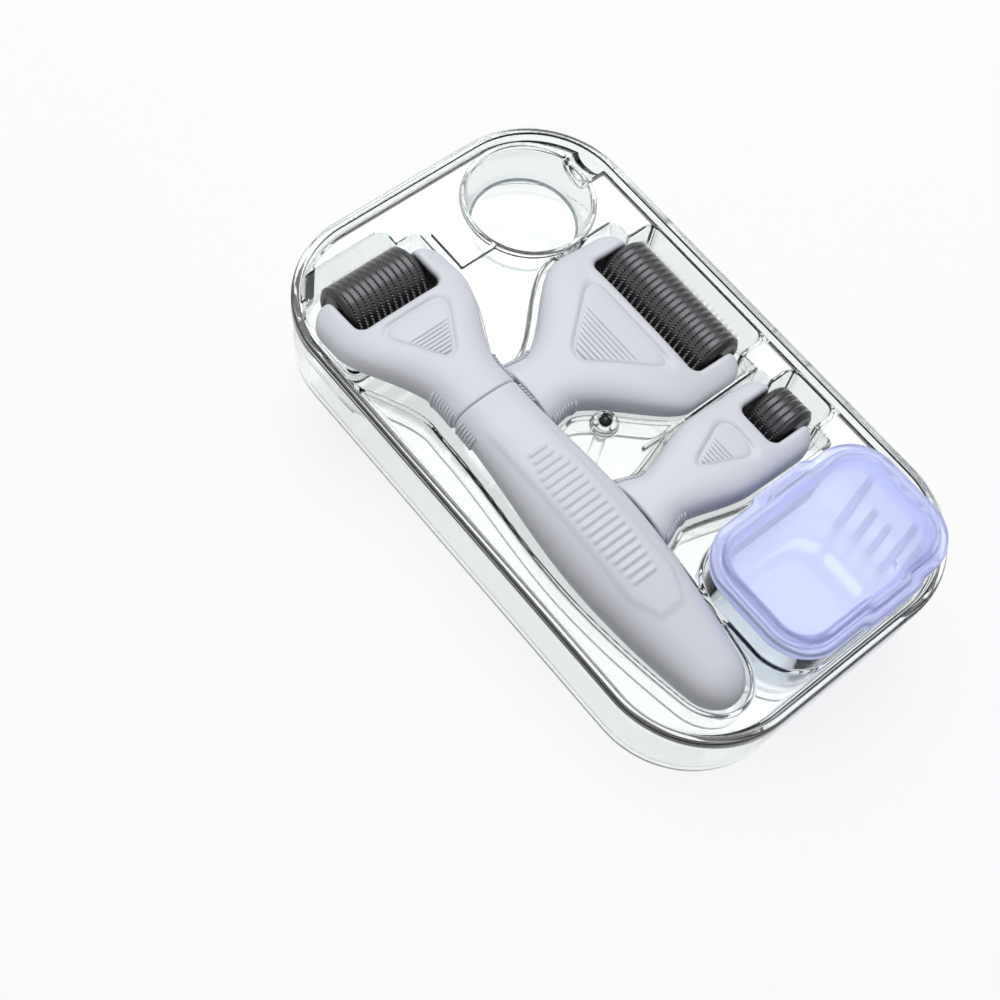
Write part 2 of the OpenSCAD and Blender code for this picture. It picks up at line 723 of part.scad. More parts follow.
module tank_lid() {
    top = skirt_h + plateau_h;
    seal_in = tank_in + tank_wall + lid_clear;
    under = top - lid_t;
    seal_z = skirt_h - lid_t - seal_h;
    color([0.72, 0.75, 0.95, 0.6]) at_tank() translate([0, 0, lid_z]) {
        difference() {
            union() {
                linear_extrude(skirt_h) lid_outline(0);
                linear_extrude(top) lid_outline(plateau_step);
            }
            translate([0, 0, -eps]) linear_extrude(skirt_h - lid_t + eps) lid_outline(lid_over);
            translate([0, 0, -eps]) linear_extrude(under + eps)
                lid_outline(max(plateau_step + lid_t, seal_in));
        }
        // Sealing lip inside the tank
        translate([0, 0, seal_z]) linear_extrude(under - seal_z + eps) difference() {
            lip_outline(seal_in);
            lip_outline(seal_in + lid_t);
        }
    }
}

case_base();
case_tray();
tray_post();
handle_body();
handle_plug();
face_frame();
face_axle_pin();
face_core();
face_spacers();
face_needle_discs();
face_end_caps();
body_frame();
body_axle_pin();
body_core();
body_spacers();
body_needle_discs();
body_end_caps();
eye_frame();
eye_axle_pin();
eye_core();
eye_spacers();
eye_needle_discs();
eye_end_caps();
tank();
tank_lid();
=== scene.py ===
# %% [markdown]
# # A skin roller set in its clear case
# A roller with a face head lies beside two spare heads and a small tank, all in one clear case. The CAD
# model gives every piece its place and its motion. This lesson dresses that model: it makes the soft
# plastic forms, the needle drums and the clear mouldings again with finer meshes, and gives each a
# finish.

import itertools
import json
import math
from types import SimpleNamespace

import bmesh
import bpy
import numpy as np
from mathutils import Matrix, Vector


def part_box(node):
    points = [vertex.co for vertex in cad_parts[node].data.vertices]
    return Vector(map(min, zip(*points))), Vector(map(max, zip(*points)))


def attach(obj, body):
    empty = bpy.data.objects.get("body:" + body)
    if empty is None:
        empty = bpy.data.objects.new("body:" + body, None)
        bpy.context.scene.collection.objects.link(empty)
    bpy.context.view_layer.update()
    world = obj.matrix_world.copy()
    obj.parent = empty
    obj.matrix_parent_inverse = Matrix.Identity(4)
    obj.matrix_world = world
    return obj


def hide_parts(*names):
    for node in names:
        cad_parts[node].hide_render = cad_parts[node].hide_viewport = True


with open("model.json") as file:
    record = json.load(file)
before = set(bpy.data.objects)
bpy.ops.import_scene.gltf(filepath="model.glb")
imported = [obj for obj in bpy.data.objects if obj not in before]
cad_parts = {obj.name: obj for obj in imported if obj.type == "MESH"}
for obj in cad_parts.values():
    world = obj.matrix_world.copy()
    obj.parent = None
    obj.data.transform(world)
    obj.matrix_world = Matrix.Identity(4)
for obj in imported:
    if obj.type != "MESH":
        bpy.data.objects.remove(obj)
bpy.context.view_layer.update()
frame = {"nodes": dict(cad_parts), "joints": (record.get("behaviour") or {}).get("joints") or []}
scene = bpy.context.scene

# %% [markdown]
# ## Sizes that come from the frame
# Blender works in metres, and a maker thinks of this set in millimetres. Places are read from the boxes
# of the CAD nodes, so a piece goes where the frame has it. Only the sizes that a box can't tell, such as
# a waist or a roundness, are written down below.

# %% Read the places
MM = 0.001


def box_mm(node):
    """Lowest and highest corner of a CAD node in millimetres."""
    low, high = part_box(node)
    return np.array(low) / MM, np.array(high) / MM


def spin_axis(name):
    """Where a drum turns, in millimetres."""
    place = next(j["pos_m"] for j in frame["joints"] if j["name"] == name + "_drum_spin")
    return np.array(place) / MM


case_low, case_high = box_mm("case_base")
case_w, case_l, case_h = case_high - case_low
handle_low, handle_high = box_mm("handle_body")
roller_x = (handle_low[0] + handle_high[0]) / 2
seam_y = handle_high[1]
handle_l = handle_high[1] - handle_low[1]
neck_w = 19.2
neck_t = 10.8
axle_drop = 5.6
roller_z = spin_axis("face")[2] + axle_drop
print("case", case_w, case_l, case_h, "handle length", round(handle_l, 2), "neck height", roller_z)

# %% [markdown]
# ## Making a piece from points and faces
# A mesh in Blender is a list of points and a list of faces. The first helper makes an object from them,
# turns its faces outwards and shades it smooth, with a crease where two faces meet at a sharp angle. The
# second ties the piece to the body that it moves with and hides the plain CAD nodes that it stands for.


# %% Piece helpers
def new_piece(name, points, faces, finish, crease=40):
    """A smooth mesh object from points in millimetres."""
    mesh = bpy.data.meshes.new(name)
    mesh.from_pydata((np.asarray(points) * MM).tolist(), [], faces)
    shell = bmesh.new()
    shell.from_mesh(mesh)
    bmesh.ops.recalc_face_normals(shell, faces=shell.faces)
    shell.to_mesh(mesh)
    shell.free()
    mesh.shade_smooth()
    mesh.set_sharp_from_angle(angle=math.radians(crease))
    mesh.materials.append(finish)
    piece = bpy.data.objects.new(name, mesh)
    scene.collection.objects.link(piece)
    return piece


def settle(piece, body, slot, *nodes):
    """Ties a piece to its body and hides the nodes that it stands for; the finish slot is not used."""
    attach(piece, body)
    if nodes:
        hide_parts(*nodes)
    print(piece.name, len(piece.data.vertices), "points, on", body)


# %% Shells and skins
def gather(parts):
    """Points and faces of many small shells as one list."""
    points = []
    faces = []
    for part_points, part_faces in parts:
        start = len(points)
        points.extend(map(tuple, part_points))
        faces.extend(tuple(start + i for i in face) for face in part_faces)
    return points, faces


def turns(count):
    """Angles in equal steps round a circle."""
    return np.arange(count) * 2 * math.pi / count


def loft(rings, loop=False):
    """Points and faces of a skin through rings of equal count, capped, or closed as a loop of rings."""
    count = len(rings[0])
    points = np.concatenate([np.asarray(ring) for ring in rings])
    faces = []
    for i in range(len(rings) if loop else len(rings) - 1):
        here = i * count
        after = (i + 1) % len(rings) * count
        for j in range(count):
            k = (j + 1) % count
            faces.append((here + j, here + k, after + k, after + j))
    if not loop:
        faces.append(tuple(range(count)))
        faces.append(tuple(range(len(points) - 1, len(points) - count - 1, -1)))
    return points, faces


# %% [markdown]
# ## Shared effects as node groups
# Moulded plastic is never one flat colour. The mould is spark eroded, so the skin has a fine grain, and
# the colour drifts a little as the plastic flows. A clear moulding has no grain, but its faces ripple
# very slightly, and that ripple is what makes its edges glint unevenly. Drawn steel has fine lines along
# one way. Several finishes need each of these effects, so each is a node group with its own inputs.


# %% Node group helpers
def new_effect(name, inputs, outputs):
    """An empty node group, the sockets of its inputs and the sockets of its outputs."""
    group = bpy.data.node_groups.new(name, "ShaderNodeTree")
    for socket, kind, value in inputs:
        made = group.interface.new_socket(socket, in_out="INPUT", socket_type="NodeSocket" + kind)
        made.default_value = value
    for socket, kind in outputs:
        group.interface.new_socket(socket, in_out="OUTPUT", socket_type="NodeSocket" + kind)
    return group, group.nodes.new("NodeGroupInput").outputs, group.nodes.new("NodeGroupOutput").inputs


def feed(tree, value, socket):
    """Links a socket to another one, or sets it to a number."""
    if isinstance(value, (int, float)):
        socket.default_value = value
    else:
        tree.links.new(value, socket)


# %% Small nodes
def add_math(tree, operation, first, second):
    """A Math node on two sockets or numbers."""
    node = tree.nodes.new("ShaderNodeMath")
    node.operation = operation
    feed(tree, first, node.inputs[0])
    feed(tree, second, node.inputs[1])
    return node.outputs[0]


def add_noise(tree, scale, detail, stretch=(1, 1, 1)):
    """Noise in the piece's own space, at a scale that is a number or a socket."""
    place = tree.nodes.new("ShaderNodeTexCoord")
    space = tree.nodes.new("ShaderNodeMapping")
    space.inputs["Scale"].default_value = stretch
    tree.links.new(place.outputs["Object"], space.inputs["Vector"])
    noise = tree.nodes.new("ShaderNodeTexNoise")
    noise.inputs["Detail"].default_value = detail
    tree.links.new(space.outputs["Vector"], noise.inputs["Vector"])
    feed(tree, scale, noise.inputs["Scale"])
    return noise.outputs["Fac"]


def add_range(tree, value, low, high):
    """Maps a value from 0 to 1 onto a range."""
    node = tree.nodes.new("ShaderNodeMapRange")
    tree.links.new(value, node.inputs["Value"])
    feed(tree, low, node.inputs["To Min"])
    feed(tree, high, node.inputs["To Max"])
    return node.outputs["Result"]


def add_tone(tree, colour, value):
    """A colour made darker or lighter by a value."""
    node = tree.nodes.new("ShaderNodeHueSaturation")
    tree.links.new(colour, node.inputs["Color"])
    tree.links.new(value, node.inputs["Value"])
    return node.outputs["Color"]


# %% The moulded grain
grain, grain_in, grain_out = new_effect(
    "moulded grain",
    [("Colour", "Color", (0.6, 0.6, 0.6, 1)), ("Drift", "Float", 0.05), ("Grain", "Float", 4000.0),
     ("Smooth", "Float", 0.35), ("Rough", "Float", 0.5)],
    [("Colour", "Color"), ("Roughness", "Float"), ("Height", "Float")],
)
fine = add_noise(grain, grain_in["Grain"], 2)
flow = add_noise(grain, 60.0, 3)
spread = add_math(grain, "MULTIPLY", add_math(grain, "SUBTRACT", flow, 0.5), grain_in["Drift"])
bright = add_math(grain, "ADD", spread, 1.0)
fine_part = add_math(grain, "MULTIPLY", fine, 0.6)
mixed = add_math(grain, "ADD", fine_part, add_math(grain, "MULTIPLY", flow, 0.4))
skin_gloss = add_range(grain, mixed, grain_in["Smooth"], grain_in["Rough"])
grain.links.new(add_tone(grain, grain_in["Colour"], bright), grain_out["Colour"])
grain.links.new(skin_gloss, grain_out["Roughness"])
grain.links.new(fine, grain_out["Height"])
print("moulded grain:", len(grain.nodes), "nodes")

# %% The ripple of clear mouldings and the lines of drawn steel
ripple, ripple_in, ripple_out = new_effect(
    "clear ripple",
    [("Size", "Float", 60.0), ("Smooth", "Float", 0.0), ("Rough", "Float", 0.04)],
    [("Roughness", "Float"), ("Height", "Float")],
)
haze = add_range(ripple, add_noise(ripple, 400.0, 2), ripple_in["Smooth"], ripple_in["Rough"])
ripple.links.new(haze, ripple_out["Roughness"])
ripple.links.new(add_noise(ripple, ripple_in["Size"], 1), ripple_out["Height"])

drawn, drawn_in, drawn_out = new_effect(
    "drawn lines",
    [("Colour", "Color", (0.6, 0.6, 0.6, 1)), ("Smooth", "Float", 0.2), ("Rough", "Float", 0.4)],
    [("Colour", "Color"), ("Roughness", "Float"), ("Height", "Float")],
)
lines = add_noise(drawn, 900.0, 3, (1, 1, 12))
drawn_tone = add_tone(drawn, drawn_in["Colour"], add_range(drawn, lines, 0.8, 1.1))
drawn_gloss = add_range(drawn, lines, drawn_in["Smooth"], drawn_in["Rough"])
drawn.links.new(drawn_tone, drawn_out["Colour"])
drawn.links.new(drawn_gloss, drawn_out["Roughness"])
drawn.links.new(lines, drawn_out["Height"])
print("node groups:", [group.name for group in bpy.data.node_groups])

# %% [markdown]
# ## The finishes
# The roller and its heads are a light grey plastic with a satin skin. The drums are dark: grey bands
# between black gaps, with steel needles. The case, tray and tank are clear, and the lid is a milky lilac
# that one can still see through. Real clear plastic lets lamp light through to what lies in it. A path
# tracer would draw a dark shadow there, so a clear finish answers the lamp's own rays with a plain
# see-through shader.


# %% Finish helpers
def srgb(red, green, blue):
    """A colour as a paint chart gives it, from 0 to 255, in Blender's linear values."""
    return (*(((c / 255 + 0.055) / 1.055) ** 2.4 for c in (red, green, blue)), 1)


def new_finish(name):
    """A material with its node tree and Principled shader."""
    finish = bpy.data.materials.new(name)
    finish.use_nodes = True
    return finish, finish.node_tree, finish.node_tree.nodes["Principled BSDF"]


def place_effect(tree, group, **values):
    """A node group in a material, with its own values."""
    node = tree.nodes.new("ShaderNodeGroup")
    node.node_tree = group
    for socket, value in values.items():
        node.inputs[socket].default_value = value
    return node


# %% Solid finishes
def add_bump(tree, shader, height, depth):
    """Lets a height shape the shader's normal, depth in millimetres."""
    bump = tree.nodes.new("ShaderNodeBump")
    bump.inputs["Strength"].default_value = 1
    bump.inputs["Distance"].default_value = depth * MM
    tree.links.new(height, bump.inputs["Height"])
    tree.links.new(bump.outputs["Normal"], shader.inputs["Normal"])


def solid_finish(name, group, depth, metal=0, **values):
    """An opaque finish that takes its colour, roughness and grain from a group."""
    finish, tree, shader = new_finish(name)
    shader.inputs["Metallic"].default_value = metal
    effect = place_effect(tree, group, **values)
    tree.links.new(effect.outputs["Colour"], shader.inputs["Base Color"])
    tree.links.new(effect.outputs["Roughness"], shader.inputs["Roughness"])
    add_bump(tree, shader, effect.outputs["Height"], depth)
    return finish


# %% Clear finishes
def add_mix(tree, share, first, second, surface):
    """Shows the second shader on a surface by a share from 0 to 1, and else the first."""
    mix = tree.nodes.new("ShaderNodeMixShader")
    for source, socket in zip((share, first, second), mix.inputs):
        tree.links.new(source, socket)
    tree.links.new(mix.outputs["Shader"], surface.inputs["Surface"])


def clear_finish(name, tint, depth, bend=1.49, clear=1.0, **values):
    """A see-through plastic that lets lamp light pass; less clear is milkier."""
    finish, tree, shader = new_finish(name)
    shader.inputs["Base Color"].default_value = tint
    shader.inputs["Transmission Weight"].default_value = clear
    shader.inputs["IOR"].default_value = bend
    effect = place_effect(tree, ripple, **values)
    tree.links.new(effect.outputs["Roughness"], shader.inputs["Roughness"])
    add_bump(tree, shader, effect.outputs["Height"], depth)
    through = tree.nodes.new("ShaderNodeBsdfTransparent")
    through.inputs["Color"].default_value = tint
    path = tree.nodes.new("ShaderNodeLightPath")
    add_mix(tree, path.outputs["Is Shadow Ray"], shader.outputs["BSDF"], through.outputs["BSDF"],
            tree.nodes["Material Output"])
    return finish


# %% Mix the finishes
grey_plastic = solid_finish("grey plastic", grain, 0.012, Colour=srgb(209, 211, 219), Drift=0.05,
                            Grain=5000.0, Smooth=0.34, Rough=0.5)
connector_plastic = solid_finish("connector plastic", grain, 0.01, Colour=srgb(196, 198, 206),
                                 Drift=0.05, Grain=4000.0, Smooth=0.3, Rough=0.45)
band_plastic = solid_finish("band plastic", grain, 0.008, 0.7, Colour=srgb(76, 74, 77), Drift=0.25,
                            Grain=3000.0, Smooth=0.22, Rough=0.36)
cap_plastic = solid_finish("cap plastic", grain, 0.008, Colour=srgb(48, 47, 50), Drift=0.2,
                           Grain=3000.0, Smooth=0.25, Rough=0.42)
needle_steel = solid_finish("needle steel", drawn, 0.002, 0.4, Colour=srgb(228, 228, 230),
                            Smooth=0.25, Rough=0.45)
# The discs' near-black steel is painted shade: it stands in for the shadow deep in the narrow gaps
# between the bands.
shaded_disc_steel = solid_finish("disc steel", drawn, 0.002, 1, Colour=srgb(58, 57, 60), Smooth=0.3, Rough=0.5)
axle_steel = solid_finish("axle steel", drawn, 0.002, 1, Colour=srgb(198, 198, 202),
                          Smooth=0.15, Rough=0.35)
clear_case = clear_finish("clear case", srgb(249, 252, 251), 0.02, Size=40.0)
clear_tray = clear_finish("clear tray", srgb(250, 252, 252), 0.012, Rough=0.05)
clear_tank = clear_finish("clear tank", srgb(248, 251, 252), 0.006, 1.27)
edge_clear = clear_finish("grey clear edge", srgb(150, 156, 160), 0.004, 1.3, 0.9)
guide_clear = clear_finish("guide rib plastic", srgb(234, 238, 245), 0.004, 1.3, 0.75,
                           Size=80.0, Smooth=0.02, Rough=0.08)
lilac_lid = clear_finish("lilac lid", srgb(222, 226, 254), 0.003, 1.2, 0.7, Size=80.0, Rough=0.06)
print("finishes:", [finish.name for finish in bpy.data.materials if finish.use_nodes])

# %% [markdown]
# ## The handle
# The handle is one long grey moulding, arched and soft all over, with a flat panel on top and nineteen
# low ribs for the thumb. It could be sculpted, but its form is regular: at each place along its length
# the section is a squared oval. So the skin is lofted through many such ovals, and the panel and the ribs
# are raised by a formula. Rings lie close together where the ribs are.

# %% Handle shape
grip_w = handle_high[0] - handle_low[0]
grip_t = 17
grip_at = 45
tip_w = 12.4
tip_t = 11.2
tip_round = 8
handle_drop = 7
arch_even = 0.35
taper_pow = 1.8
tip_pow = 2.2
section_pow = 2.5


# %% Formulas for the handle
def ease(t):
    """Smooth step from 0 to 1."""
    u = np.clip(t, 0, 1)
    return u * u * (3 - 2 * u)


def spow(value, power):
    """Power that keeps its sign."""
    return np.sign(value) * np.abs(value) ** power


def swell_and_taper(s, neck, grip, tip):
    """A handle size that grows from the neck to the grip and tapers to the tip."""
    past = np.clip((s - grip_at) / (handle_l - grip_at), 0, 1)
    return neck + (grip - neck) * ease(s / grip_at) - (grip - tip) * past**taper_pow


def handle_half(s):
    """Half width and half thickness of the handle, s from the seam."""
    return swell_and_taper(s, neck_w, grip_w, tip_w) / 2, swell_and_taper(s, neck_t, grip_t, tip_t) / 2


def tip_share(s):
    """Share of the section that the rounded tip leaves."""
    u = np.clip((s - handle_l + tip_round) / tip_round, 0, 1)
    return (1 - u**tip_pow) ** (1 / tip_pow)


def handle_mid(s):
    """Height of the handle's middle line."""
    t = s / handle_l
    return roller_z - handle_drop * (arch_even * t + (1 - arch_even) * ease(t))


# %% The thumb panel and its ribs
rib_count = 19
rib_pitch = 2.18
rib_start = 19.2
rib_half = 5.0
rib_w = 0.82
rib_rise = 0.42
rib_shift = -0.4
first_short = 2.0
last_short = 1.2
panel_half = 6.8
panel_end = 69
panel_taper = 3.2
panel_taper_l = 9
panel_edge = 1.5
panel_rise = 0.4


def grip_relief(u, s):
    """How far the top of the handle is raised, u from its middle line."""
    reach = panel_half - panel_taper * ease((s - panel_end + panel_taper_l) / panel_taper_l)
    along = ease((panel_end - s) / 1.2) * ease((s - 6) / 5)
    panel = ease((reach - np.abs(u)) / panel_edge + 0.5) * along
    nearest = np.clip(np.round((s - rib_start) / rib_pitch), 0, rib_count - 1)
    short = first_short * ease((4 - nearest) / 4) + last_short * ease((nearest - rib_count + 6) / 5)
    past_end = np.maximum(np.abs(u - rib_shift) - (rib_half - short - rib_w), 0)
    away = np.hypot(past_end, s - rib_start - nearest * rib_pitch) / rib_w
    rib = np.cos(np.clip(away, 0, 1) * math.pi / 2) ** 1.2
    return panel_rise * panel + rib_rise * rib


def handle_ring(s, inset=0, count=144):
    """One section of the handle."""
    angle = turns(count)
    half_w, half_t = (half * tip_share(s) - inset for half in handle_half(s))
    u = half_w * spow(np.cos(angle), 2 / section_pow)
    z = half_t * spow(np.sin(angle), 2 / section_pow)
    up = ease(z / half_t * 2)
    raised = grip_relief(u, s) * up if inset == 0 else 0
    return np.stack([roller_x + u, np.full(count, seam_y - s), handle_mid(s) + z + raised], axis=1)


# %% Ridges
def ridge(path, ups, radius, sides=8):
    """A round ridge along a path, thin at its ends."""
    path = np.asarray(path, float)
    along = np.gradient(path, axis=0)
    along /= np.linalg.norm(along, axis=1)[:, None]
    ups = np.asarray(ups, float)
    ups = ups / np.linalg.norm(ups, axis=1)[:, None]
    across = np.cross(along, ups)
    reach = np.linspace(-1, 1, len(path))
    thick = radius * np.sqrt(np.maximum(0.02, 1 - np.abs(reach) ** 4))
    angle = turns(sides)
    rings = [p + r * (np.outer(np.cos(angle), a) + np.outer(np.sin(angle), u))
             for p, r, a, u in zip(path, thick, across, ups)]
    return loft(rings)


# %% Ridges on the necks
ridge_out = 0.3
ridge_from = -34
ridge_to = 30


def neck_ridges(section, count, start, pitch, radius, slant):
    """Slanted finger ridges on both flanks of a neck, section(s, angle) gives a point of its skin."""
    parts = []
    steps = 9
    for side, turn in ((180, 1), (0, -1)):
        angles = np.radians(side - turn * np.linspace(ridge_from, ridge_to, steps))
        for i in range(count):
            s = start + i * pitch + slant * np.linspace(0, 1, steps)
            path = np.array([section(each, a) for each, a in zip(s, angles)])
            outward = path - np.array([section(each, a + math.pi) for each, a in zip(s, angles)])
            outward /= np.linalg.norm(outward, axis=1)[:, None]
            parts.append(ridge(path + ridge_out * outward, outward, radius))
    return parts


def handle_point(s, angle):
    """A point of the handle's skin."""
    half_w, half_t = handle_half(s)
    return np.array([roller_x + half_w * spow(math.cos(angle), 2 / section_pow), seam_y - s,
                     handle_mid(s) + half_t * spow(math.sin(angle), 2 / section_pow)])


# %% Make the handle
ribs_from = rib_start - 2
ribs_to = rib_start + rib_count * rib_pitch
flat_to = handle_l - tip_round
stations = np.concatenate([
    np.arange(0.6, ribs_from, 0.9),
    np.arange(ribs_from, ribs_to, rib_pitch / 10),
    np.arange(ribs_to, flat_to, 0.8),
    flat_to + tip_round * np.sin(np.linspace(0, 0.495 * math.pi, 16)),
])
neck_edge = [handle_ring(0.0, 0.45), handle_ring(0.12, 0.18), handle_ring(0.4, 0.02)]
handle_skin = loft(neck_edge + [handle_ring(s) for s in stations])
handle_parts = [handle_skin] + neck_ridges(handle_point, 6, 1.0, 1.0, 0.46, 0.8)
handle = new_piece("handle", *gather(handle_parts), grey_plastic, crease=60)
settle(handle, "roller", "grey_plastic", "handle_body")

# %% [markdown]
# ## The three heads
# Each head is a fork that widens from a neck to two arms, with the drum between them. Lofting alone
# can't make a fork, and cutting one mesh with another leaves knife edges that a mould never has. Here the
# form is a field instead: a formula that is negative inside the plastic. One formula gives the head's
# outer skin and one the bay that holds the drum. Where the two meet, a soft maximum rounds the edge. A
# grid finds the cells that the skin passes through, and the points are then moved onto it.

# %% Head sizes
heads = [
    SimpleNamespace(name="face", waist=18.8, width=39.4, flare=34, discs=12, needle=1.0, turned=False),
    SimpleNamespace(name="body", waist=17.2, width=53.6, flare=34, discs=20, needle=1.5, turned=True),
    SimpleNamespace(name="eye", waist=14.4, width=24.2, flare=28, discs=5, needle=0.5, turned=True),
]
for h in heads:
    way = 0 if h.turned else 1
    h.neck = spin_axis(h.name) + [0, 0, axle_drop]
    h.neck[way] = box_mm(h.name + "_frame")[0][way]
    h.axle = spin_axis(h.name)[way] - h.neck[way]
print("axles from the necks:", [round(h.axle, 2) for h in heads])


def place_head(h, points):
    """Moves points from a head's own frame, arms along Y, to its place in the case."""
    x, s, z = np.asarray(points, float).T
    if h.turned:
        return np.stack([h.neck[0] + s, h.neck[1] - x, h.neck[2] + z], axis=1)
    return np.stack([h.neck[0] + x, h.neck[1] + s, h.neck[2] + z], axis=1)


# %% Head outline
arm_t = 11.4
arm_drop = 3.2
arm_round = 7
arm_nose = 4
arm_pow = 3.2
axle_to_tip = 3.4
waist_at = 8
flare_lead = 3
drop_from = 0.4
disc_pitch = 1.85
disc_t = 0.25
cap_w = 1.7
drum_r = 8.2
drum_side = 0.9
opening_gap = 1.1
opening_r = 2.6


# %% Width, thickness and height of a head
def arc_in(d, r):
    """How far an arc of radius r has come in, d before its end."""
    return np.where(d >= r, 0, r - np.sqrt(np.maximum(0, r * r - (r - np.minimum(d, r)) ** 2)))


def head_len(h):
    return h.axle + axle_to_tip


def head_half(h, s):
    """Half width of a head, s from its neck."""
    narrow = (neck_w - h.waist) / 2 * (1 - ease(s / waist_at))
    start = waist_at - flare_lead
    wide = (h.width - h.waist) / 2 * ease((s - start) / (h.flare - start))
    return h.waist / 2 + narrow + wide - arc_in(head_len(h) - s, arm_round)


def head_thick(h, s):
    """Half thickness of a head."""
    return neck_t / 2 + (arm_t - neck_t) / 2 * ease(s / h.flare) - arc_in(head_len(h) - s, arm_nose)


def head_mid(h, s):
    """Middle height of a head over its neck."""
    return -arm_drop * ease((s - h.axle * drop_from) / (h.axle * (1 - drop_from)))


def head_pow(h, s):
    """How square the section is."""
    return section_pow + (arm_pow - section_pow) * ease(s / h.flare)


def drum_len(h):
    return (h.discs - 1) * disc_pitch + disc_t + 2 * cap_w


def opening_at(h):
    """Where the drum's opening starts."""
    return h.axle - drum_r - h.needle - opening_gap


# %% [markdown]
# On top of each head is a shallow three-cornered panel with a row of low ribs towards the neck. The
# panel is part of the field, because its edge is soft. The ribs are finer than the grid, so they are laid
# on afterwards as ridges.

# %% Panel outline
panel_depth = 0.4
panel_soft = 0.6
panel_lead = 2.5
far_corner = 5.5
near_corner = 2.5
groove_depth = 0.5
groove_half = 0.65


def soft_max(a, b, reach):
    """The larger of two fields, rounded where they meet."""
    blend = np.maximum(reach - np.abs(a - b), 0) / reach
    return np.maximum(a, b) + blend * blend * reach / 4


def panel_sink(h, x, s):
    """How deep the panel lies, with a soft groove round its edge."""
    flank = (np.abs(x) - h.panel_slope * (s - h.panel_near + panel_lead)) / math.hypot(1, h.panel_slope)
    edge = soft_max(soft_max(flank, s - h.panel_far, far_corner), h.panel_near - s, near_corner)
    groove = groove_depth * np.exp(-((edge / groove_half) ** 2))
    return panel_depth * ease(0.5 - edge / panel_soft) + groove


panel_rows = ((13.6, 29.8, 11.6, 8, 15.0, 22.4), (16.4, 35.8, 17.6, 9, 17.8, 28.2),
              (19.2, 34.8, 7.3, 7, 20.8, 27.8))
for h, (near, far, half, ribs, rib_from, rib_to) in zip(heads, panel_rows):
    h.panel_near = near
    h.panel_far = far
    h.panel_slope = half / (far - near + panel_lead)
    h.panel_ribs = np.linspace(rib_from, rib_to, ribs)
print("panel lengths:", {h.name: round(h.panel_far - h.panel_near, 1) for h in heads})


# %% The field of a head
socket_w = 13.4
socket_t = 7.4
socket_l = 5.2
slot_edge = 1.9
least_slope = 0.06


def head_body(h, points):
    """Distance from a head's outer skin, negative inside."""
    x, s, z = points.T
    a = head_half(h, s)
    b = head_thick(h, s)
    up = z - head_mid(h, s)
    power = head_pow(h, s)
    u = np.abs(x) / a
    v = np.abs(up) / b
    q = np.maximum((u**power + v**power) ** (1 / power), 0.001)
    slope = np.hypot(u ** (power - 1) / a, v ** (power - 1) / b) * q ** (1 - power)
    skin = (q - 1) / np.maximum(slope, least_slope)
    skin = skin + panel_sink(h, x, s) * ease(up / b * 2)
    return soft_max(soft_max(skin, -s, 0.6), s - head_len(h), 2.0)


def head_bay(h, points):
    """Distance from the bay that holds the drum, negative in it."""
    x, s, _ = points.T
    half_open = drum_len(h) / 2 + drum_side
    beside = np.abs(x) - half_open + opening_r
    behind = opening_at(h) + opening_r - s
    corner = np.hypot(np.maximum(beside, 0), np.maximum(behind, 0)) - opening_r
    return corner + np.minimum(np.maximum(beside, behind), 0)


def head_field(h, points):
    """Distance from a head's skin, negative inside."""
    x, s, z = points.T
    fork = soft_max(head_body(h, points), -head_bay(h, points), slot_edge)
    stadium = np.hypot(np.maximum(np.abs(x) - (socket_w - socket_t) / 2, 0), z) - socket_t / 2
    socket = np.maximum(stadium, s - socket_l)
    return soft_max(fork, -socket, 0.3)


# %% [markdown]
# The grid's cells are less than half a millimetre wide. A cell with a corner inside and a corner outside
# gets one point, and each grid edge that crosses the skin gets one face between the four cells round it.
# The points are evened out and slid along the field's slope until they lie on the skin.


# %% Skin of a field
def skin_cells(inside):
    """Cells that the skin passes through, and the faces between them."""
    corners = itertools.product((slice(0, -1), slice(1, None)), repeat=3)
    count = sum(inside[corner].astype(int) for corner in corners)
    crossed = (count > 0) & (count < 8)
    number = np.full(crossed.shape, -1)
    number[crossed] = np.arange(crossed.sum())
    faces = []
    for axis in range(3):
        u = (axis + 1) % 3
        v = (axis + 2) % 3
        here = np.swapaxes(inside, 0, axis)
        change = np.swapaxes(here[:-1] != here[1:], 0, axis)
        edges = np.argwhere(change)
        edges = edges[(edges[:, u] > 0) & (edges[:, v] > 0)]
        quad = []
        for du, dv in ((1, 1), (0, 1), (0, 0), (1, 0)):
            cell = edges.copy()
            cell[:, u] -= du
            cell[:, v] -= dv
            quad.append(number[tuple(cell.T)])
        faces.append(np.stack(quad, axis=1))
    return np.argwhere(crossed), np.concatenate(faces)


# %% Points onto the skin
def onto_skin(field, points, steps):
    """Slides points along the field's slope until they lie on its skin."""
    probe = 0.02
    for _ in range(steps):
        value = field(points)
        slope = np.stack([(field(points + probe * e) - field(points - probe * e)) / (2 * probe)
                          for e in np.eye(3)], axis=1)
        push = value / np.maximum((slope**2).sum(axis=1), 0.25)
        points = points - np.clip(push, -0.3, 0.3)[:, None] * slope
    return points


def even_out(points, faces):
    """Moves each point halfway to the middle of its neighbours."""
    ends = np.concatenate([faces[:, [i, (i + 1) % 4]] for i in range(4)])
    total = np.zeros_like(points)
    count = np.zeros(len(points))
    for one, other in ((0, 1), (1, 0)):
        np.add.at(total, ends[:, one], points[ends[:, other]])
        np.add.at(count, ends[:, one], 1)
    return (points + total / count[:, None]) / 2


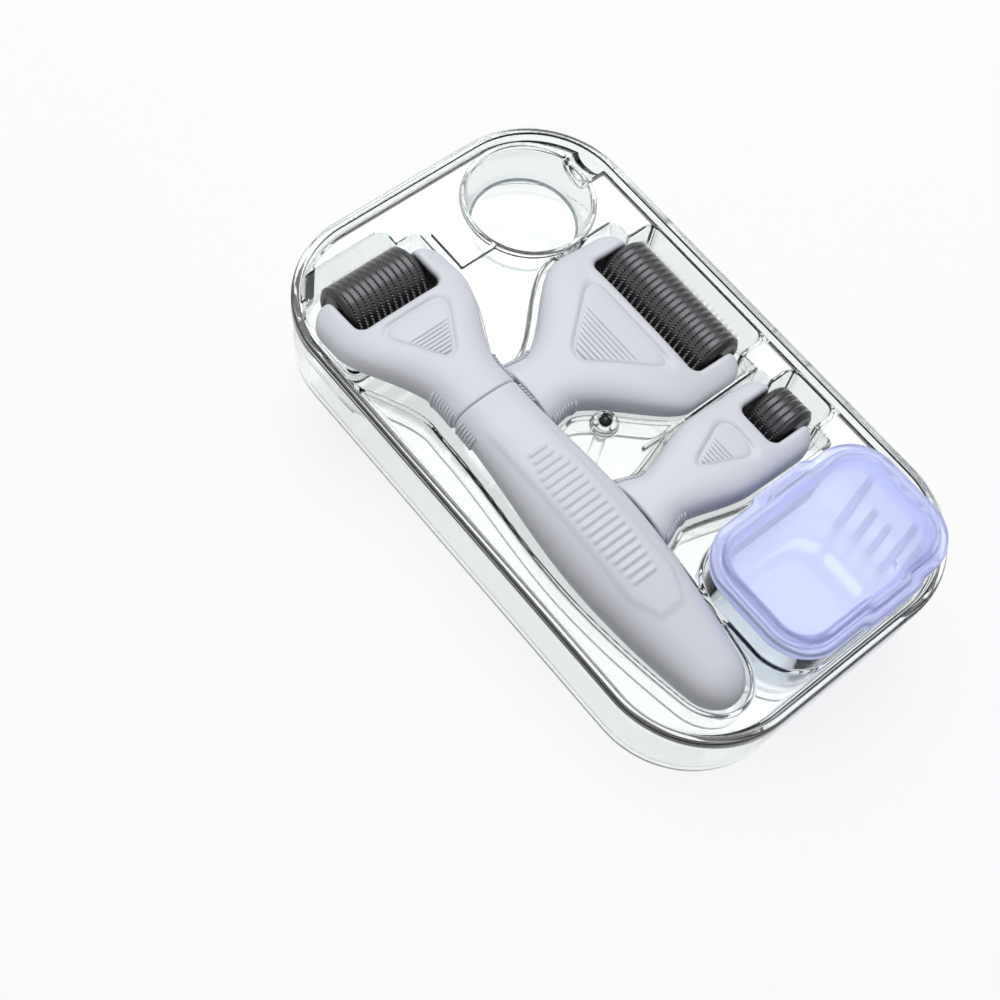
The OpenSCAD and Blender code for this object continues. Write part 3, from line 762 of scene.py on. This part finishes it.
def skin_of(field, low, high, step, rounds=4):
    """Points and faces of the skin of a field within a box."""
    axes = [np.arange(a, b, step) for a, b in zip(low, high)]
    grid = np.stack(np.meshgrid(*axes, indexing="ij"), axis=-1)
    inside = (field(grid.reshape(-1, 3)) < 0).reshape(grid.shape[:3])
    cells, faces = skin_cells(inside)
    points = np.array([axis[0] for axis in axes]) + (cells + 0.5) * step
    for _ in range(rounds):
        points = onto_skin(field, even_out(points, faces), 2)
    return onto_skin(field, points, 2), faces.tolist()


# %% [markdown]
# The panel's ribs get shorter towards the neck, so that their ends follow the panel's edge. The neck has
# short slanted ridges on both flanks, where finger and thumb pull the head off.


# %% Ridges of a head
panel_rib_r = 0.36
rib_margin = 1.1


def head_top(h, x, s):
    """Height of a head's top over its neck, panel included."""
    power = head_pow(h, s)
    share = (1 - np.minimum(np.abs(x) / head_half(h, s), 1) ** power) ** (1 / power)
    return head_mid(h, s) + head_thick(h, s) * share - panel_sink(h, x, s)


def head_ridges(h):
    """Ribs of the panel and ridges of the neck, in the head's own frame."""
    parts = []
    steps = 15
    for s in h.panel_ribs:
        reach = h.panel_slope * (s - h.panel_near + panel_lead) - rib_margin
        x = np.linspace(-reach, reach, steps)
        along = np.full(steps, s)
        path = np.stack([x, along, head_top(h, x, along) + 0.04], axis=1)
        parts.append(ridge(path, np.tile([0, 0, 1], (steps, 1)), panel_rib_r))

    def neck_point(s, angle):
        power = 2 / head_pow(h, s)
        return np.array([head_half(h, s) * spow(math.cos(angle), power), s,
                         head_mid(h, s) + head_thick(h, s) * spow(math.sin(angle), power)])

    return parts + neck_ridges(neck_point, 8, 0.9, 1.0, 0.5, 0.8)


# %% [markdown]
# The walls of a drum's bay are grey at the rim and almost black a few millimetres below it, because
# little light reaches down there between the needles, and what a glossy drum shows on its near side is
# this dark
# wall. That shade is painted in: each point of the skin keeps a number, nought at the rim and one deep in
# the bay, and the finish of the forks mixes its grey towards near black by it, as painted shade.

# %% Painted shade in the bays
bay_shade_soft = 2.4
bay_shade_from = 0.5
wall_reach = 0.4


def painted_bay_shade(h, points):
    """Share of painted shade: nought on a head's outer skin, one on the walls deep in its bay."""
    points = np.asarray(points, float)
    wall = np.abs(head_bay(h, points)) < wall_reach
    return ease((-head_body(h, points) - bay_shade_from) / bay_shade_soft) * wall


painted_shade_fork_plastic = grey_plastic.copy()
painted_shade_fork_plastic.name = "fork plastic"
tree = painted_shade_fork_plastic.node_tree
shader = tree.nodes["Principled BSDF"]
# The attribute holds each point's share of painted shade in the bay, and the mix below paints the grey
# towards near black by it.
depth = tree.nodes.new("ShaderNodeAttribute")
depth.attribute_name = "bay"
painted_shade_mix = tree.nodes.new("ShaderNodeMix")
painted_shade_mix.data_type = "RGBA"
tree.links.new(depth.outputs["Fac"], painted_shade_mix.inputs[0])
tree.links.new(shader.inputs["Base Color"].links[0].from_socket, painted_shade_mix.inputs[6])
painted_shade_mix.inputs[7].default_value = srgb(26, 26, 28)
tree.links.new(painted_shade_mix.outputs[2], shader.inputs["Base Color"])
print("fork plastic:", len(tree.nodes), "nodes")

# %% Make the heads
cell_mm = 0.3
for h in heads:
    room = h.width / 2 + 1
    skin = skin_of(lambda p, h=h: head_field(h, p), (-room, -0.9, -arm_drop - arm_t / 2 - 1),
                   (room, head_len(h) + 1, neck_t / 2 + 1.5), cell_mm)
    points, faces = gather([skin] + head_ridges(h))
    fork = new_piece(h.name + "_fork", place_head(h, points), faces, painted_shade_fork_plastic, crease=70)
    # Each point keeps its share of painted shade in the bay, which the fork finish reads.
    shade = fork.data.attributes.new("bay", "FLOAT", "POINT")
    shade.data.foreach_set("value", painted_bay_shade(h, points))
    settle(fork, h.name + "_head", "grey_plastic", h.name + "_frame")

# %% [markdown]
# ## The drums
# A drum is a stack of thin steel discs with needles on their rims, parted by dark plastic rings, on a
# core that turns on a steel axle. The rings are turned on a lathe in the computer: one small closed
# profile is swept round the axis. Rounded edges on each ring leave the narrow black gaps that the photo
# shows between the grey bands.


# %% Lathe
def lathe(profile, count=96):
    """A closed profile of places along X and radii, swept round the X axis."""
    angle = turns(count)
    return loft([np.stack([np.full(count, along), r * np.cos(angle), r * np.sin(angle)], axis=1)
                 for along, r in profile], loop=True)


def on_axle(h, parts):
    """Gathers parts made round the X axis and moves them onto a head's axle."""
    points, faces = gather(parts)
    return place_head(h, np.asarray(points) + [0, h.axle, -axle_drop]), faces


# %% Bands and caps
core_r = 3.0
band_edge = 0.14
band_gap = 0.42
cap_chamfer = 1.1
axle_bore = 1.05


def band(middle):
    """Profile of one dark ring between two discs."""
    half = (disc_pitch - band_gap) / 2
    side = [(half, core_r), (half, drum_r - 1.2), (half, drum_r - band_edge),
            (half - band_edge * 0.3, drum_r - band_edge * 0.3), (half - band_edge, drum_r),
            (half - band_edge - 0.08, drum_r)]
    return [(middle - along, r) for along, r in side] + [(middle + along, r) for along, r in side[::-1]]


def cap(h, side):
    """Profile of one chamfered end cap with a round boss."""
    inner = drum_len(h) / 2 - cap_w
    shape = [(0, axle_bore), (0, drum_r - 0.15), (0.15, drum_r), (cap_w - cap_chamfer - 0.1, drum_r),
             (cap_w - cap_chamfer + 0.1, drum_r - 0.12), (cap_w - 0.1, drum_r - cap_chamfer + 0.02),
             (cap_w, drum_r - cap_chamfer - 0.2), (cap_w, drum_r - 2.2), (cap_w - 0.5, drum_r - 2.6),
             (cap_w - 0.5, 3.2), (cap_w, 2.8), (cap_w, axle_bore)]
    return [(side * (inner + along), r) for along, r in shape]


for h in heads:
    middles = (np.arange(h.discs - 1) - (h.discs - 2) / 2) * disc_pitch
    rings = on_axle(h, [lathe(band(middle)) for middle in middles])
    bands = new_piece(h.name + "_bands", *rings, band_plastic, crease=50)
    settle(bands, h.name + "_drum", "drum_plastic", h.name + "_spacers")
    ends = on_axle(h, [lathe(cap(h, side)) for side in (-1, 1)])
    caps = new_piece(h.name + "_caps", *ends, cap_plastic, crease=50)
    settle(caps, h.name + "_drum", "cap_plastic", h.name + "_end_caps")

# %% [markdown]
# Each disc carries sixty needles. A needle is a slim four-sided spike, so five points are enough. The
# spikes of neighbouring discs are set half a step apart, so that they don't stand in straight rows.

# %% Needle discs
needles = 60
needle_w = 0.34
disc_r = drum_r - 0.4


def spike(middle, angle, tip):
    """A slim four-sided needle that stands out from a disc's rim."""
    out = np.array([0, math.cos(angle), math.sin(angle)])
    side = np.array([0, -math.sin(angle), math.cos(angle)])
    root = [middle + np.array([a * disc_t / 2, 0, 0]) + b * needle_w / 2 * side + (disc_r - 0.1) * out
            for a, b in ((-1, -1), (1, -1), (1, 1), (-1, 1))]
    return root + [middle + tip * out], [(0, 1, 4), (1, 2, 4), (2, 3, 4), (3, 0, 4), (3, 2, 1, 0)]


for h in heads:
    plates = []
    spikes = []
    for i in range(h.discs):
        along = (i - (h.discs - 1) / 2) * disc_pitch
        plates.append(lathe([(along - disc_t / 2, core_r), (along - disc_t / 2, disc_r),
                             (along + disc_t / 2, disc_r), (along + disc_t / 2, core_r)]))
        for j in range(needles):
            angle = 2 * math.pi * (j + 0.5 * (i % 2)) / needles
            spikes.append(spike(np.array([along, 0, 0]), angle, drum_r + h.needle))
    # The discs take the near-black steel of the painted gap shade.
    discs = new_piece(h.name + "_discs", *on_axle(h, plates), shaded_disc_steel, crease=20)
    settle(discs, h.name + "_drum", "needle_steel")
    points = new_piece(h.name + "_needles", *on_axle(h, spikes), needle_steel, crease=20)
    settle(points, h.name + "_drum", "needle_steel", h.name + "_needle_discs")

# %% [markdown]
# ## The clear base
# The base is a shallow tub of clear plastic with round corners, a soft foot and a thicker lip round its
# rim. Light bends at every edge of a clear piece, so here the edges are what one sees, and they must be
# round. The wall's section is drawn once as a path with rounded corners, from the underside over the rim
# to the inner floor. Each point of it becomes one ring: the case's outline, drawn in by some distance.


# %% Sections with rounded corners
def soften_path(corners, steps=6):
    """A path through corners, each a row of inset, height, roundness and any further values."""
    rows = np.array(corners, float)
    keep = [0, 1] + list(range(3, rows.shape[1]))
    path = [rows[0][keep]]
    for before, here, after in zip(rows, rows[1:], rows[2:]):
        back = np.linalg.norm(before[:2] - here[:2])
        ahead = np.linalg.norm(after[:2] - here[:2])
        into = (before - here)[keep] / back
        out = (after - here)[keep] / ahead
        half = math.acos(np.clip(into[:2] @ out[:2], -1, 1)) / 2
        reach = here[2] / math.tan(half)
        for share in np.linspace(0, 1, steps):
            path.append(here[keep] + reach * ((1 - share) ** 2 * into + share**2 * out))
    path.append(rows[-1][keep])
    return path


def oblong(width, length, radius, inset, z, corner=20):
    """One ring: a rounded oblong drawn in by an inset."""
    ring = []
    for quarter, (sx, sy) in enumerate(((1, 1), (-1, 1), (-1, -1), (1, -1))):
        for angle in np.linspace(quarter, quarter + 1, corner + 1) * math.pi / 2:
            ring.append((sx * (width / 2 - radius) + (radius - inset) * math.cos(angle),
                         sy * (length / 2 - radius) + (radius - inset) * math.sin(angle), z))
    return np.array(ring)


# %% Make the base
case_r = 28
case_wall = 1.5
case_floor = 1.8
lip_h = 4
lip_out = 0.8
foot_r = 4
inner = lip_out + case_wall
wall_section = soften_path([
    (12, 0, 0), (lip_out, 0, foot_r), (lip_out, case_h - lip_h, 0.4), (0, case_h - lip_h, 0.35),
    (0, case_h, 0.8), (inner, case_h, 0.8), (inner, case_floor, foot_r - case_wall), (12, case_floor, 0),
])
base_rings = [oblong(case_w, case_l, case_r, inset, z) for inset, z in wall_section]
base = new_piece("base", *loft(base_rings), clear_case, crease=50)
settle(base, "case", "clear_case", "case_base")

# %% [markdown]
# ## The tray
# The tray is formed from one thin clear sheet, so that it sinks round every piece and is round at each
# bend. That calls for the field again. The open air over the tray is the room above its deck, the room
# outside its skirt, and the room in each pocket. Soft minimums join these rooms, and the sheet is then
# all that lies within one millimetre of the air. Distances in plan are worked out once on a fine map,
# because the pockets follow the outlines of the handle and the heads.

# %% Distances in plan
plan_step = 0.3
plan_x = np.arange(-case_w / 2 - 2, case_w / 2 + 2, plan_step)
plan_y = np.arange(-case_l / 2 - 2, case_l / 2 + 2, plan_step)


def outline_distance(outline, x, y):
    """Distance from a closed outline in plan, negative inside."""
    near = np.full(x.shape, np.inf)
    inside = np.zeros(x.shape, bool)
    for (x0, y0), (x1, y1) in zip(outline, np.roll(outline, -1, axis=0)):
        dx = x1 - x0
        dy = y1 - y0
        if dx * dx + dy * dy < 1e-9:
            continue
        share = np.clip(((x - x0) * dx + (y - y0) * dy) / (dx * dx + dy * dy), 0, 1)
        near = np.minimum(near, np.hypot(x - x0 - share * dx, y - y0 - share * dy))
        if dy != 0:
            inside ^= ((y0 > y) != (y1 > y)) & (x < x0 + (y - y0) * dx / dy)
    return np.where(inside, -near, near)


def plan_map(outlines, clear):
    """A map of the distance from several outlines, grown by a clearance."""
    x, y = np.meshgrid(plan_x, plan_y, indexing="ij")
    return np.min([outline_distance(outline, x, y) for outline in outlines], axis=0) - clear


# %% Reading the maps
def look_up(table, x, y):
    """Reads a map between its points."""
    u = np.clip((x - plan_x[0]) / plan_step, 0, len(plan_x) - 1.001)
    v = np.clip((y - plan_y[0]) / plan_step, 0, len(plan_y) - 1.001)
    i = u.astype(int)
    j = v.astype(int)
    u = u - i
    v = v - j
    low = table[i, j] * (1 - v) + table[i, j + 1] * v
    high = table[i + 1, j] * (1 - v) + table[i + 1, j + 1] * v
    return low * (1 - u) + high * u


def oblong_distance(x, y, width, length, radius):
    """Distance from a rounded oblong round the origin, negative inside."""
    u = np.abs(x) - width / 2 + radius
    v = np.abs(y) - length / 2 + radius
    return np.hypot(np.maximum(u, 0), np.maximum(v, 0)) + np.minimum(np.maximum(u, v), 0) - radius


# %% Outlines of the pockets
pull = 4.75
pocket_clear = 1.3
trough_side = 2.2
trough_far = 3.4


def mirrored(half):
    """A closed outline from one side, rows of half width and place along."""
    half = np.array(half)
    return np.concatenate([half, (half * [-1, 1])[::-1]])


def in_plan(h, half):
    """A head's outline at its place in the case."""
    rows = mirrored(half)
    return place_head(h, np.column_stack([rows, np.zeros(len(rows))]))[:, :2]


def head_footprint(h, beyond):
    """Outline of a whole head in plan."""
    half = [(head_half(h, s), s) for s in np.linspace(0, h.flare, 24)]
    return in_plan(h, half + [(h.width / 2, head_len(h) + beyond)])


def trough(h, beyond):
    """Outline of the deeper pocket under a drum."""
    side = drum_len(h) / 2 + trough_side - opening_r
    end = h.axle + drum_r + h.needle + max(beyond, trough_far) - opening_r
    return in_plan(h, [(side, opening_at(h) + opening_r), (side, end)])


s = handle_l * np.sin(np.linspace(0, math.pi / 2, 40))
handle_side = np.column_stack([handle_half(s)[0] * tip_share(s), -s])
handle_footprint = mirrored(handle_side) + [roller_x, seam_y]
face, body, eye = heads
head_map = plan_map([handle_footprint, head_footprint(face, pull), head_footprint(body, 0),
                     head_footprint(eye, 0)], pocket_clear)
trough_map = plan_map([trough(face, pull + pocket_clear), trough(body, 0), trough(eye, 0)], opening_r)
print("plan maps:", head_map.shape)

# %% The sheet's own sizes
sheet_t = 1.0
tray_gap = 0.2
deck_drop = 2
pocket_depth = 11.4
trough_depth = 17
deck_z = case_h - deck_drop
pocket_z = case_h - pocket_depth
trough_z = case_h - trough_depth
tank_low, tank_high = box_mm("tank")
tank_mid = (tank_low + tank_high) / 2
tank_l, tank_w, _ = tank_high - tank_low
tank_r = 10.3
tray_in = inner + tray_gap
skirt_z = case_floor + foot_r - case_wall
well_x = 24.2
well_y = 62.2
well_r = 17
well_foot_r = 15.0
well_depth = 11
well_foot_z = deck_z - well_depth
cradle_y = 62.4
cradle_r = 4.2
cradle_l = 6.6
cradle_x = case_w / 2 - tray_in - cradle_l
post_low, post_high = box_mm("tray_post")
post_x, post_y, _ = (post_low + post_high) / 2
post_r = (post_high[0] - post_low[0]) / 2
collar = 1.6
ridge_h = 1.4
ridge_w = 1.2
ridge_l = 13
ridge_x = roller_x + face.width / 2 + pocket_clear + 2 * ridge_w
ridge_y = well_y - well_r * 0.4
divider_y = (body.neck[1] - body.width / 2 + eye.neck[1] + eye.width / 2) / 2
divider_from = eye.neck[0] + eye.flare / 2
divider_to = body.neck[0] + head_len(body) + pocket_clear


# %% Small fields for the tray
def soft_min(a, b, reach):
    """The smaller of two fields, rounded where they meet."""
    return -soft_max(-a, -b, reach)


def bar(x, y, z, low, high, edge=0.25):
    """Distance from a box with round edges, negative inside."""
    u = np.array([np.maximum(a - p, p - b) + edge for p, a, b in zip((x, y, z), low, high)])
    return np.linalg.norm(np.maximum(u, 0), axis=0) + np.minimum(u.max(axis=0), 0) - edge


def cradle_gap(x, y):
    """Positive in the gap that the cradle leaves in the well's lip."""
    return np.minimum(cradle_r + 0.5 - np.abs(y - cradle_y), x - well_x)


# %% The field of the tray
def tray_air(x, y, z):
    """Distances from the air over the tray, from the air in its round well and from its outline."""
    outline = oblong_distance(x, y, case_w - 2 * tray_in, case_l - 2 * tray_in, case_r - tray_in)
    air = soft_min(deck_z - z, -outline, 0.8)
    divider = np.maximum(divider_from - x, x - divider_to)
    divider = np.maximum(divider, np.abs(y - divider_y) - sheet_t / 2)
    shallow = np.maximum(look_up(head_map, x, y), -divider)
    deep = look_up(trough_map, x, y)
    tank_plan = oblong_distance(x - tank_mid[0], y - tank_mid[1], tank_l + 2 * pocket_clear,
                                tank_w + 2 * pocket_clear, tank_r + pocket_clear)
    under_tank = tank_low[2] - 0.06
    for plan, floor_z in ((shallow, pocket_z), (deep, trough_z), (tank_plan, under_tank)):
        air = soft_min(air, soft_max(plan, floor_z - z, 1.4), 0.5)
    slope = np.clip((z - well_foot_z) / (deck_z - well_foot_z), 0, 1)
    well = np.hypot(x - well_x, y - well_y) - well_foot_r - (well_r - well_foot_r) * slope
    cradle = np.maximum(np.hypot(y - cradle_y, z - deck_z) - cradle_r, cradle_x + sheet_t - x)
    return soft_min(air, cradle, 0.4), well, outline


# %% The sheet
def tray_field(points):
    """Distance from the tray's sheet, negative inside."""
    x, y, z = points.T
    air, well, outline = tray_air(x, y, z)
    well_wall = soft_max(well - sheet_t, well_foot_z - z, 0.6)
    sheet = np.maximum(-soft_min(air, well, 0.4), np.minimum(air - sheet_t, well_wall))
    foot = deck_z - 0.5
    top = deck_z + ridge_h
    divider = bar(x, y, z, (divider_from, divider_y - 0.5, deck_z - 1),
                  (divider_to, divider_y + 0.5, top))
    long_ridge = bar(x, y, z, (ridge_x, ridge_y, foot), (ridge_x + ridge_w, ridge_y + ridge_l, top))
    short_ridge = bar(x, y, z, (ridge_x, ridge_y, foot), (well_x - well_r + 1, ridge_y + ridge_w, top))
    lip = bar(np.hypot(x - well_x, y - well_y), y, z, (well_r - 0.1, -case_l, foot),
              (well_r + ridge_w, case_l, top))
    for each in (divider, long_ridge, short_ridge, np.maximum(lip, cradle_gap(x, y))):
        sheet = soft_min(sheet, each, 0.3)
    from_post = np.hypot(x - post_x, y - post_y)
    boss = soft_max(from_post - post_r - collar, np.abs(z - deck_z) - collar, 0.8)
    sheet = np.maximum(soft_min(sheet, boss, 0.6), post_r + 0.03 - from_post)
    open_foot = np.minimum(skirt_z - z, outline + 2.5)
    return np.maximum(np.maximum(sheet, open_foot), case_floor + 0.02 - z)


# %% Make the tray
tray_cell = 0.38
tray_low = (-case_w / 2 + tray_in - 1, -case_l / 2 + tray_in - 1, case_floor - 0.7)
tray_high = (case_w / 2 - tray_in + 1, case_l / 2 - tray_in + 1, deck_z + 3)
tray_skin = skin_of(tray_field, tray_low, tray_high, tray_cell, 2)
tray = new_piece("tray", *tray_skin, clear_tray, crease=70)
settle(tray, "case", "clear_tray", "case_tray")

# %% [markdown]
# The round well is open below, and a jar sits on the thin ring at its foot. One looks through that ring
# along its whole width, so its plastic seems greyer than the sheet. A domed peg holds the tray on the
# base. The ring comes off the lathe, and the peg is lofted through circles.

# %% The seat ring in the well
seat_w = 0.8
seat_t = 0.9
seat_r = well_foot_r - 0.03
bevel = 0.18
seat_section = [(0, bevel), (bevel, 0), (seat_w - bevel, 0), (seat_w, bevel), (seat_w, seat_t - bevel),
                (seat_w - bevel, seat_t), (bevel, seat_t), (0, seat_t - bevel)]
seat_profile = [(well_foot_z + 0.1 + up, seat_r - across) for across, up in seat_section]
seat_points, seat_faces = lathe(seat_profile, 128)
seat_points = seat_points[:, [1, 2, 0]] + [well_x, well_y, 0]
seat = new_piece("well_seat", seat_points, seat_faces, edge_clear, crease=30)
settle(seat, "case", "clear_tray")

# %% The peg in the tray
peg_z = post_high[2] - post_r
dome = [(peg_z + post_r * math.sin(a), post_r * math.cos(a)) for a in np.linspace(0, 1.45, 8)]
angle = turns(32)
peg_rings = [np.stack([post_x + r * np.cos(angle), post_y + r * np.sin(angle), np.full(32, z)], axis=1)
             for z, r in [(post_low[2], post_r)] + dome]
peg = new_piece("peg", *loft(peg_rings), clear_tray, crease=50)
settle(peg, "case", "clear_tray", "tray_post")

# %% [markdown]
# ## The tank and its lid
# The tank is a deep clear cup for soaking a head, with four guide ribs on its end wall. The ribs are
# thick and look cloudy from above, so they are a piece with a finish of its own. The lilac lid has a
# skirt, a raised top and a snap tab on both long sides. Cup and lid are drawn as sections and swept round
# like the base. A tab is only a place where the outline stands out, so each point of the lid's section
# also says how much of the tab it takes.

# %% Make the tank
tank_h = tank_high[2] - tank_low[2]
tank_wall = 1.5
cup_section = soften_path([(9, 0, 0), (0, 0, 1.6), (0, tank_h, 0.5), (tank_wall, tank_h, 0.5),
                           (tank_wall, tank_wall, 0.9), (9, tank_wall, 0)])
cup_rings = [oblong(tank_l, tank_w, tank_r, inset, z) + [tank_mid[0], tank_mid[1], tank_low[2]]
             for inset, z in cup_section]
cup = new_piece("tank_cup", *loft(cup_rings), clear_tank, crease=50)
settle(cup, "tank", "clear_tank", "tank")

# %% Make the guide ribs
guide_half = 1.0
nose_r = 0.5


def guide_rib(y, height, foot):
    """A wedge on the end wall, deep at its foot and shallow at its top, with a round edge."""
    wall_x = tank_high[0] - tank_wall
    mid_y = tank_mid[1] + y
    turn = np.linspace(-math.pi / 2, math.pi / 2, 13)
    levels = ((0.0, foot), (0.4, foot - 0.1), (height - 0.5, 1.1), (height - 0.1, 0.8), (height, 0.5))
    rings = []
    for z, reach in levels:
        nose_x = wall_x - max(reach - nose_r, 0) - nose_r * spow(np.cos(turn), 0.5)
        nose = np.stack([nose_x, mid_y - guide_half * spow(np.sin(turn), 0.5)], axis=1)
        ends = [[wall_x + 0.2, mid_y - guide_half], [wall_x + 0.2, mid_y + guide_half]]
        plan = np.concatenate([nose, ends])
        rings.append(np.column_stack([plan, np.full(len(plan), tank_low[2] + tank_wall - 0.1 + z)]))
    return loft(rings)


guides = [guide_rib(side * y, height, foot)
          for side in (-1, 1) for y, height, foot in ((2.5, 13.5, 2.4), (8.0, 24.0, 4.0))]
ribs = new_piece("tank_guides", *gather(guides), guide_clear, crease=50)
settle(ribs, "tank", "clear_tank")

# %% Lid outline
lid_low, lid_high = box_mm("tank_lid")
tab_out = 1.2
lid_h = 5.8
lid_l = lid_high[0] - lid_low[0]
lid_w = lid_high[1] - lid_low[1] - 2 * tab_out
lid_r = 12.5
lid_z = lid_high[2] - lid_h
tab_l = 21
tab_at = 2.4


def lid_ring(inset, z, tab):
    """The lid's outline drawn in by an inset, with part of the tabs."""
    corners = np.split(oblong(lid_l, lid_w, lid_r, inset, lid_z + z, 14), 4)
    along = np.linspace(lid_l / 2 - lid_r, lid_r - lid_l / 2, 62)[1:-1]
    sides = []
    for x, sign in ((along, 1), (-along, -1)):
        out = ease((tab_l / 2 - inset - np.abs(x - tab_at)) / (2 * tab_out)) * tab_out * tab
        sides.append(np.column_stack([x, sign * (lid_w / 2 - inset + out), np.full(len(x), lid_z + z)]))
    ring = [corners[0], sides[0], corners[1], corners[2], sides[1], corners[3]]
    return np.concatenate(ring) + [tank_mid[0], tank_mid[1], 0]


# %% Make the lid
lid_section = soften_path([
    (9, 4.6, 0, 0), (3.8, 4.6, 0.9, 1), (4.9, 2.6, 0.5, 0.4), (4.9, -2.0, 0.4, 0),
    (4.0, -2.0, 0.4, 0), (4.0, 2.0, 0.4, 0), (1.9, 2.0, 0.4, 1), (1.5, 0.0, 0.3, 1), (0, 0, 0.4, 1),
    (0, 3.2, 1.0, 1), (2.6, 3.2, 0.8, 1), (2.6, lid_h, 1.3, 1), (9, lid_h, 0, 0),
])
lid = new_piece("lid", *loft([lid_ring(*row) for row in lid_section]), lilac_lid, crease=50)
settle(lid, "lid", "lilac_lid", "tank_lid")

# %% [markdown]
# ## The pieces that stay as they are
# The axles, the cores and the plug that joins the roller to its head are plain turned or moulded
# pieces, mostly out of sight. Their CAD shapes are right, so they only take a finish.

# %% Finish the plain pieces
plain = {"handle_plug": connector_plastic}
for h in heads:
    plain[h.name + "_axle_pin"] = axle_steel
    plain[h.name + "_core"] = cap_plastic
for node, finish in plain.items():
    frame["nodes"][node].material_slots[0].material = finish
print("plain pieces:", sorted(plain))

# %% [markdown]
# ## Floor, light and camera
# The set lies on a plain white floor under a large soft lamp, as in a light tent. The floor answers the
# rays that the camera sees, directly or through clear plastic, with part of its own white, so it stays
# pale and still keeps the shadow. The world is white overhead and greyer near the horizon, like the walls
# of a studio: that is what gives clear edges their grey lines. Seen past the floor it is plain white.


# %% Floor
def seen_rays(tree):
    """One for rays that the camera sees directly, in a gloss or through glass."""
    path = tree.nodes.new("ShaderNodeLightPath")
    seen = add_math(tree, "MAXIMUM", path.outputs["Is Camera Ray"], path.outputs["Is Glossy Ray"])
    return add_math(tree, "MAXIMUM", seen, path.outputs["Is Transmission Ray"])


floor_half = 6000
floor_z = -0.12
floor_glow = 0.8
floor_paint = bpy.data.materials.new("floor paint")
floor_paint.use_nodes = True
tree = floor_paint.node_tree
tree.nodes.clear()
matte = tree.nodes.new("ShaderNodeBsdfDiffuse")
matte.inputs["Color"].default_value = (0.88, 0.88, 0.88, 1)
glow = tree.nodes.new("ShaderNodeEmission")
glow.inputs["Color"].default_value = (1, 1, 1, 1)
seen_glow = add_math(tree, "MULTIPLY", seen_rays(tree), floor_glow)
add_mix(tree, seen_glow, matte.outputs["BSDF"], glow.outputs["Emission"],
        tree.nodes.new("ShaderNodeOutputMaterial"))
corners = [(x * floor_half, y * floor_half, floor_z) for x, y in ((-1, -1), (1, -1), (1, 1), (-1, 1))]
floor = new_piece("floor", corners, [(0, 1, 2, 3)], floor_paint)
print("floor:", 2 * floor_half * MM, "metres wide")

# %% World
world = bpy.data.worlds.new("studio")
scene.world = world
world.use_nodes = True
tree = world.node_tree
sky = tree.nodes["Background"]
place = tree.nodes.new("ShaderNodeTexCoord")
tilt = tree.nodes.new("ShaderNodeVectorMath")
tilt.operation = "DOT_PRODUCT"
tilt.inputs[1].default_value = (-0.05, 0.3, 0.95)
tree.links.new(place.outputs["Generated"], tilt.inputs[0])
shell_tone = tree.nodes.new("ShaderNodeMapRange")
tree.links.new(tilt.outputs["Value"], shell_tone.inputs["Value"])
shell_tone.inputs["From Min"].default_value = 0.0
shell_tone.inputs["From Max"].default_value = 0.6
shell_tone.inputs["To Min"].default_value = 0.1
shell_tone.inputs["To Max"].default_value = 1.0
lamp_share = 0.58
level = add_range(tree, seen_rays(tree), lamp_share, 1.0)
shell_light = add_math(tree, "MULTIPLY", shell_tone.outputs["Result"], level)
backdrop = tree.nodes.new("ShaderNodeLightPath").outputs["Is Camera Ray"]
tree.links.new(add_math(tree, "MAXIMUM", shell_light, backdrop), sky.inputs["Strength"])
sky.inputs["Color"].default_value = (1, 1, 1, 1)
scene.view_settings.view_transform = "Standard"
print("world nodes:", len(tree.nodes))

# %% Lamp
lamp_place = (0.34, 0.4, 1.1)
light = bpy.data.lights.new("tent lamp", "AREA")
light.shape = "SQUARE"
light.size = 0.95
light.energy = 9.2
lamp = bpy.data.objects.new("tent lamp", light)
scene.collection.objects.link(lamp)
back = np.array(lamp_place) / np.linalg.norm(lamp_place)
right = np.cross((0.0, 1.0, 0.0), back)
right /= np.linalg.norm(right)
axes = np.stack([right, np.cross(back, right), back], axis=1)
lamp.matrix_world = Matrix.Translation(lamp_place) @ Matrix(axes).to_4x4()
print("lamp:", light.size, "metres wide,", lamp_place[2], "metres up")

# %% [markdown]
# The camera stands at the photo's place, found from the rim of the case: over its near corner, looking
# down at about sixty degrees, with a slight roll.

# %% Camera
lens = bpy.data.cameras.new("camera")
lens.sensor_width = 36
lens.lens = 63.35
lens.clip_start = 0.01
camera = bpy.data.objects.new("camera", lens)
scene.collection.objects.link(camera)
camera_right = (0.7643, -0.6345, 0.115)
camera_up = (0.5308, 0.7202, 0.4467)
camera_back = (-0.3663, -0.2804, 0.8873)
turn = Matrix((camera_right, camera_up, camera_back)).transposed().to_4x4()
camera.matrix_world = Matrix.Translation((-0.19379, -0.12037, 0.39928)) @ turn
scene.camera = camera
print("camera height over the floor:", round(camera.location.z, 3))
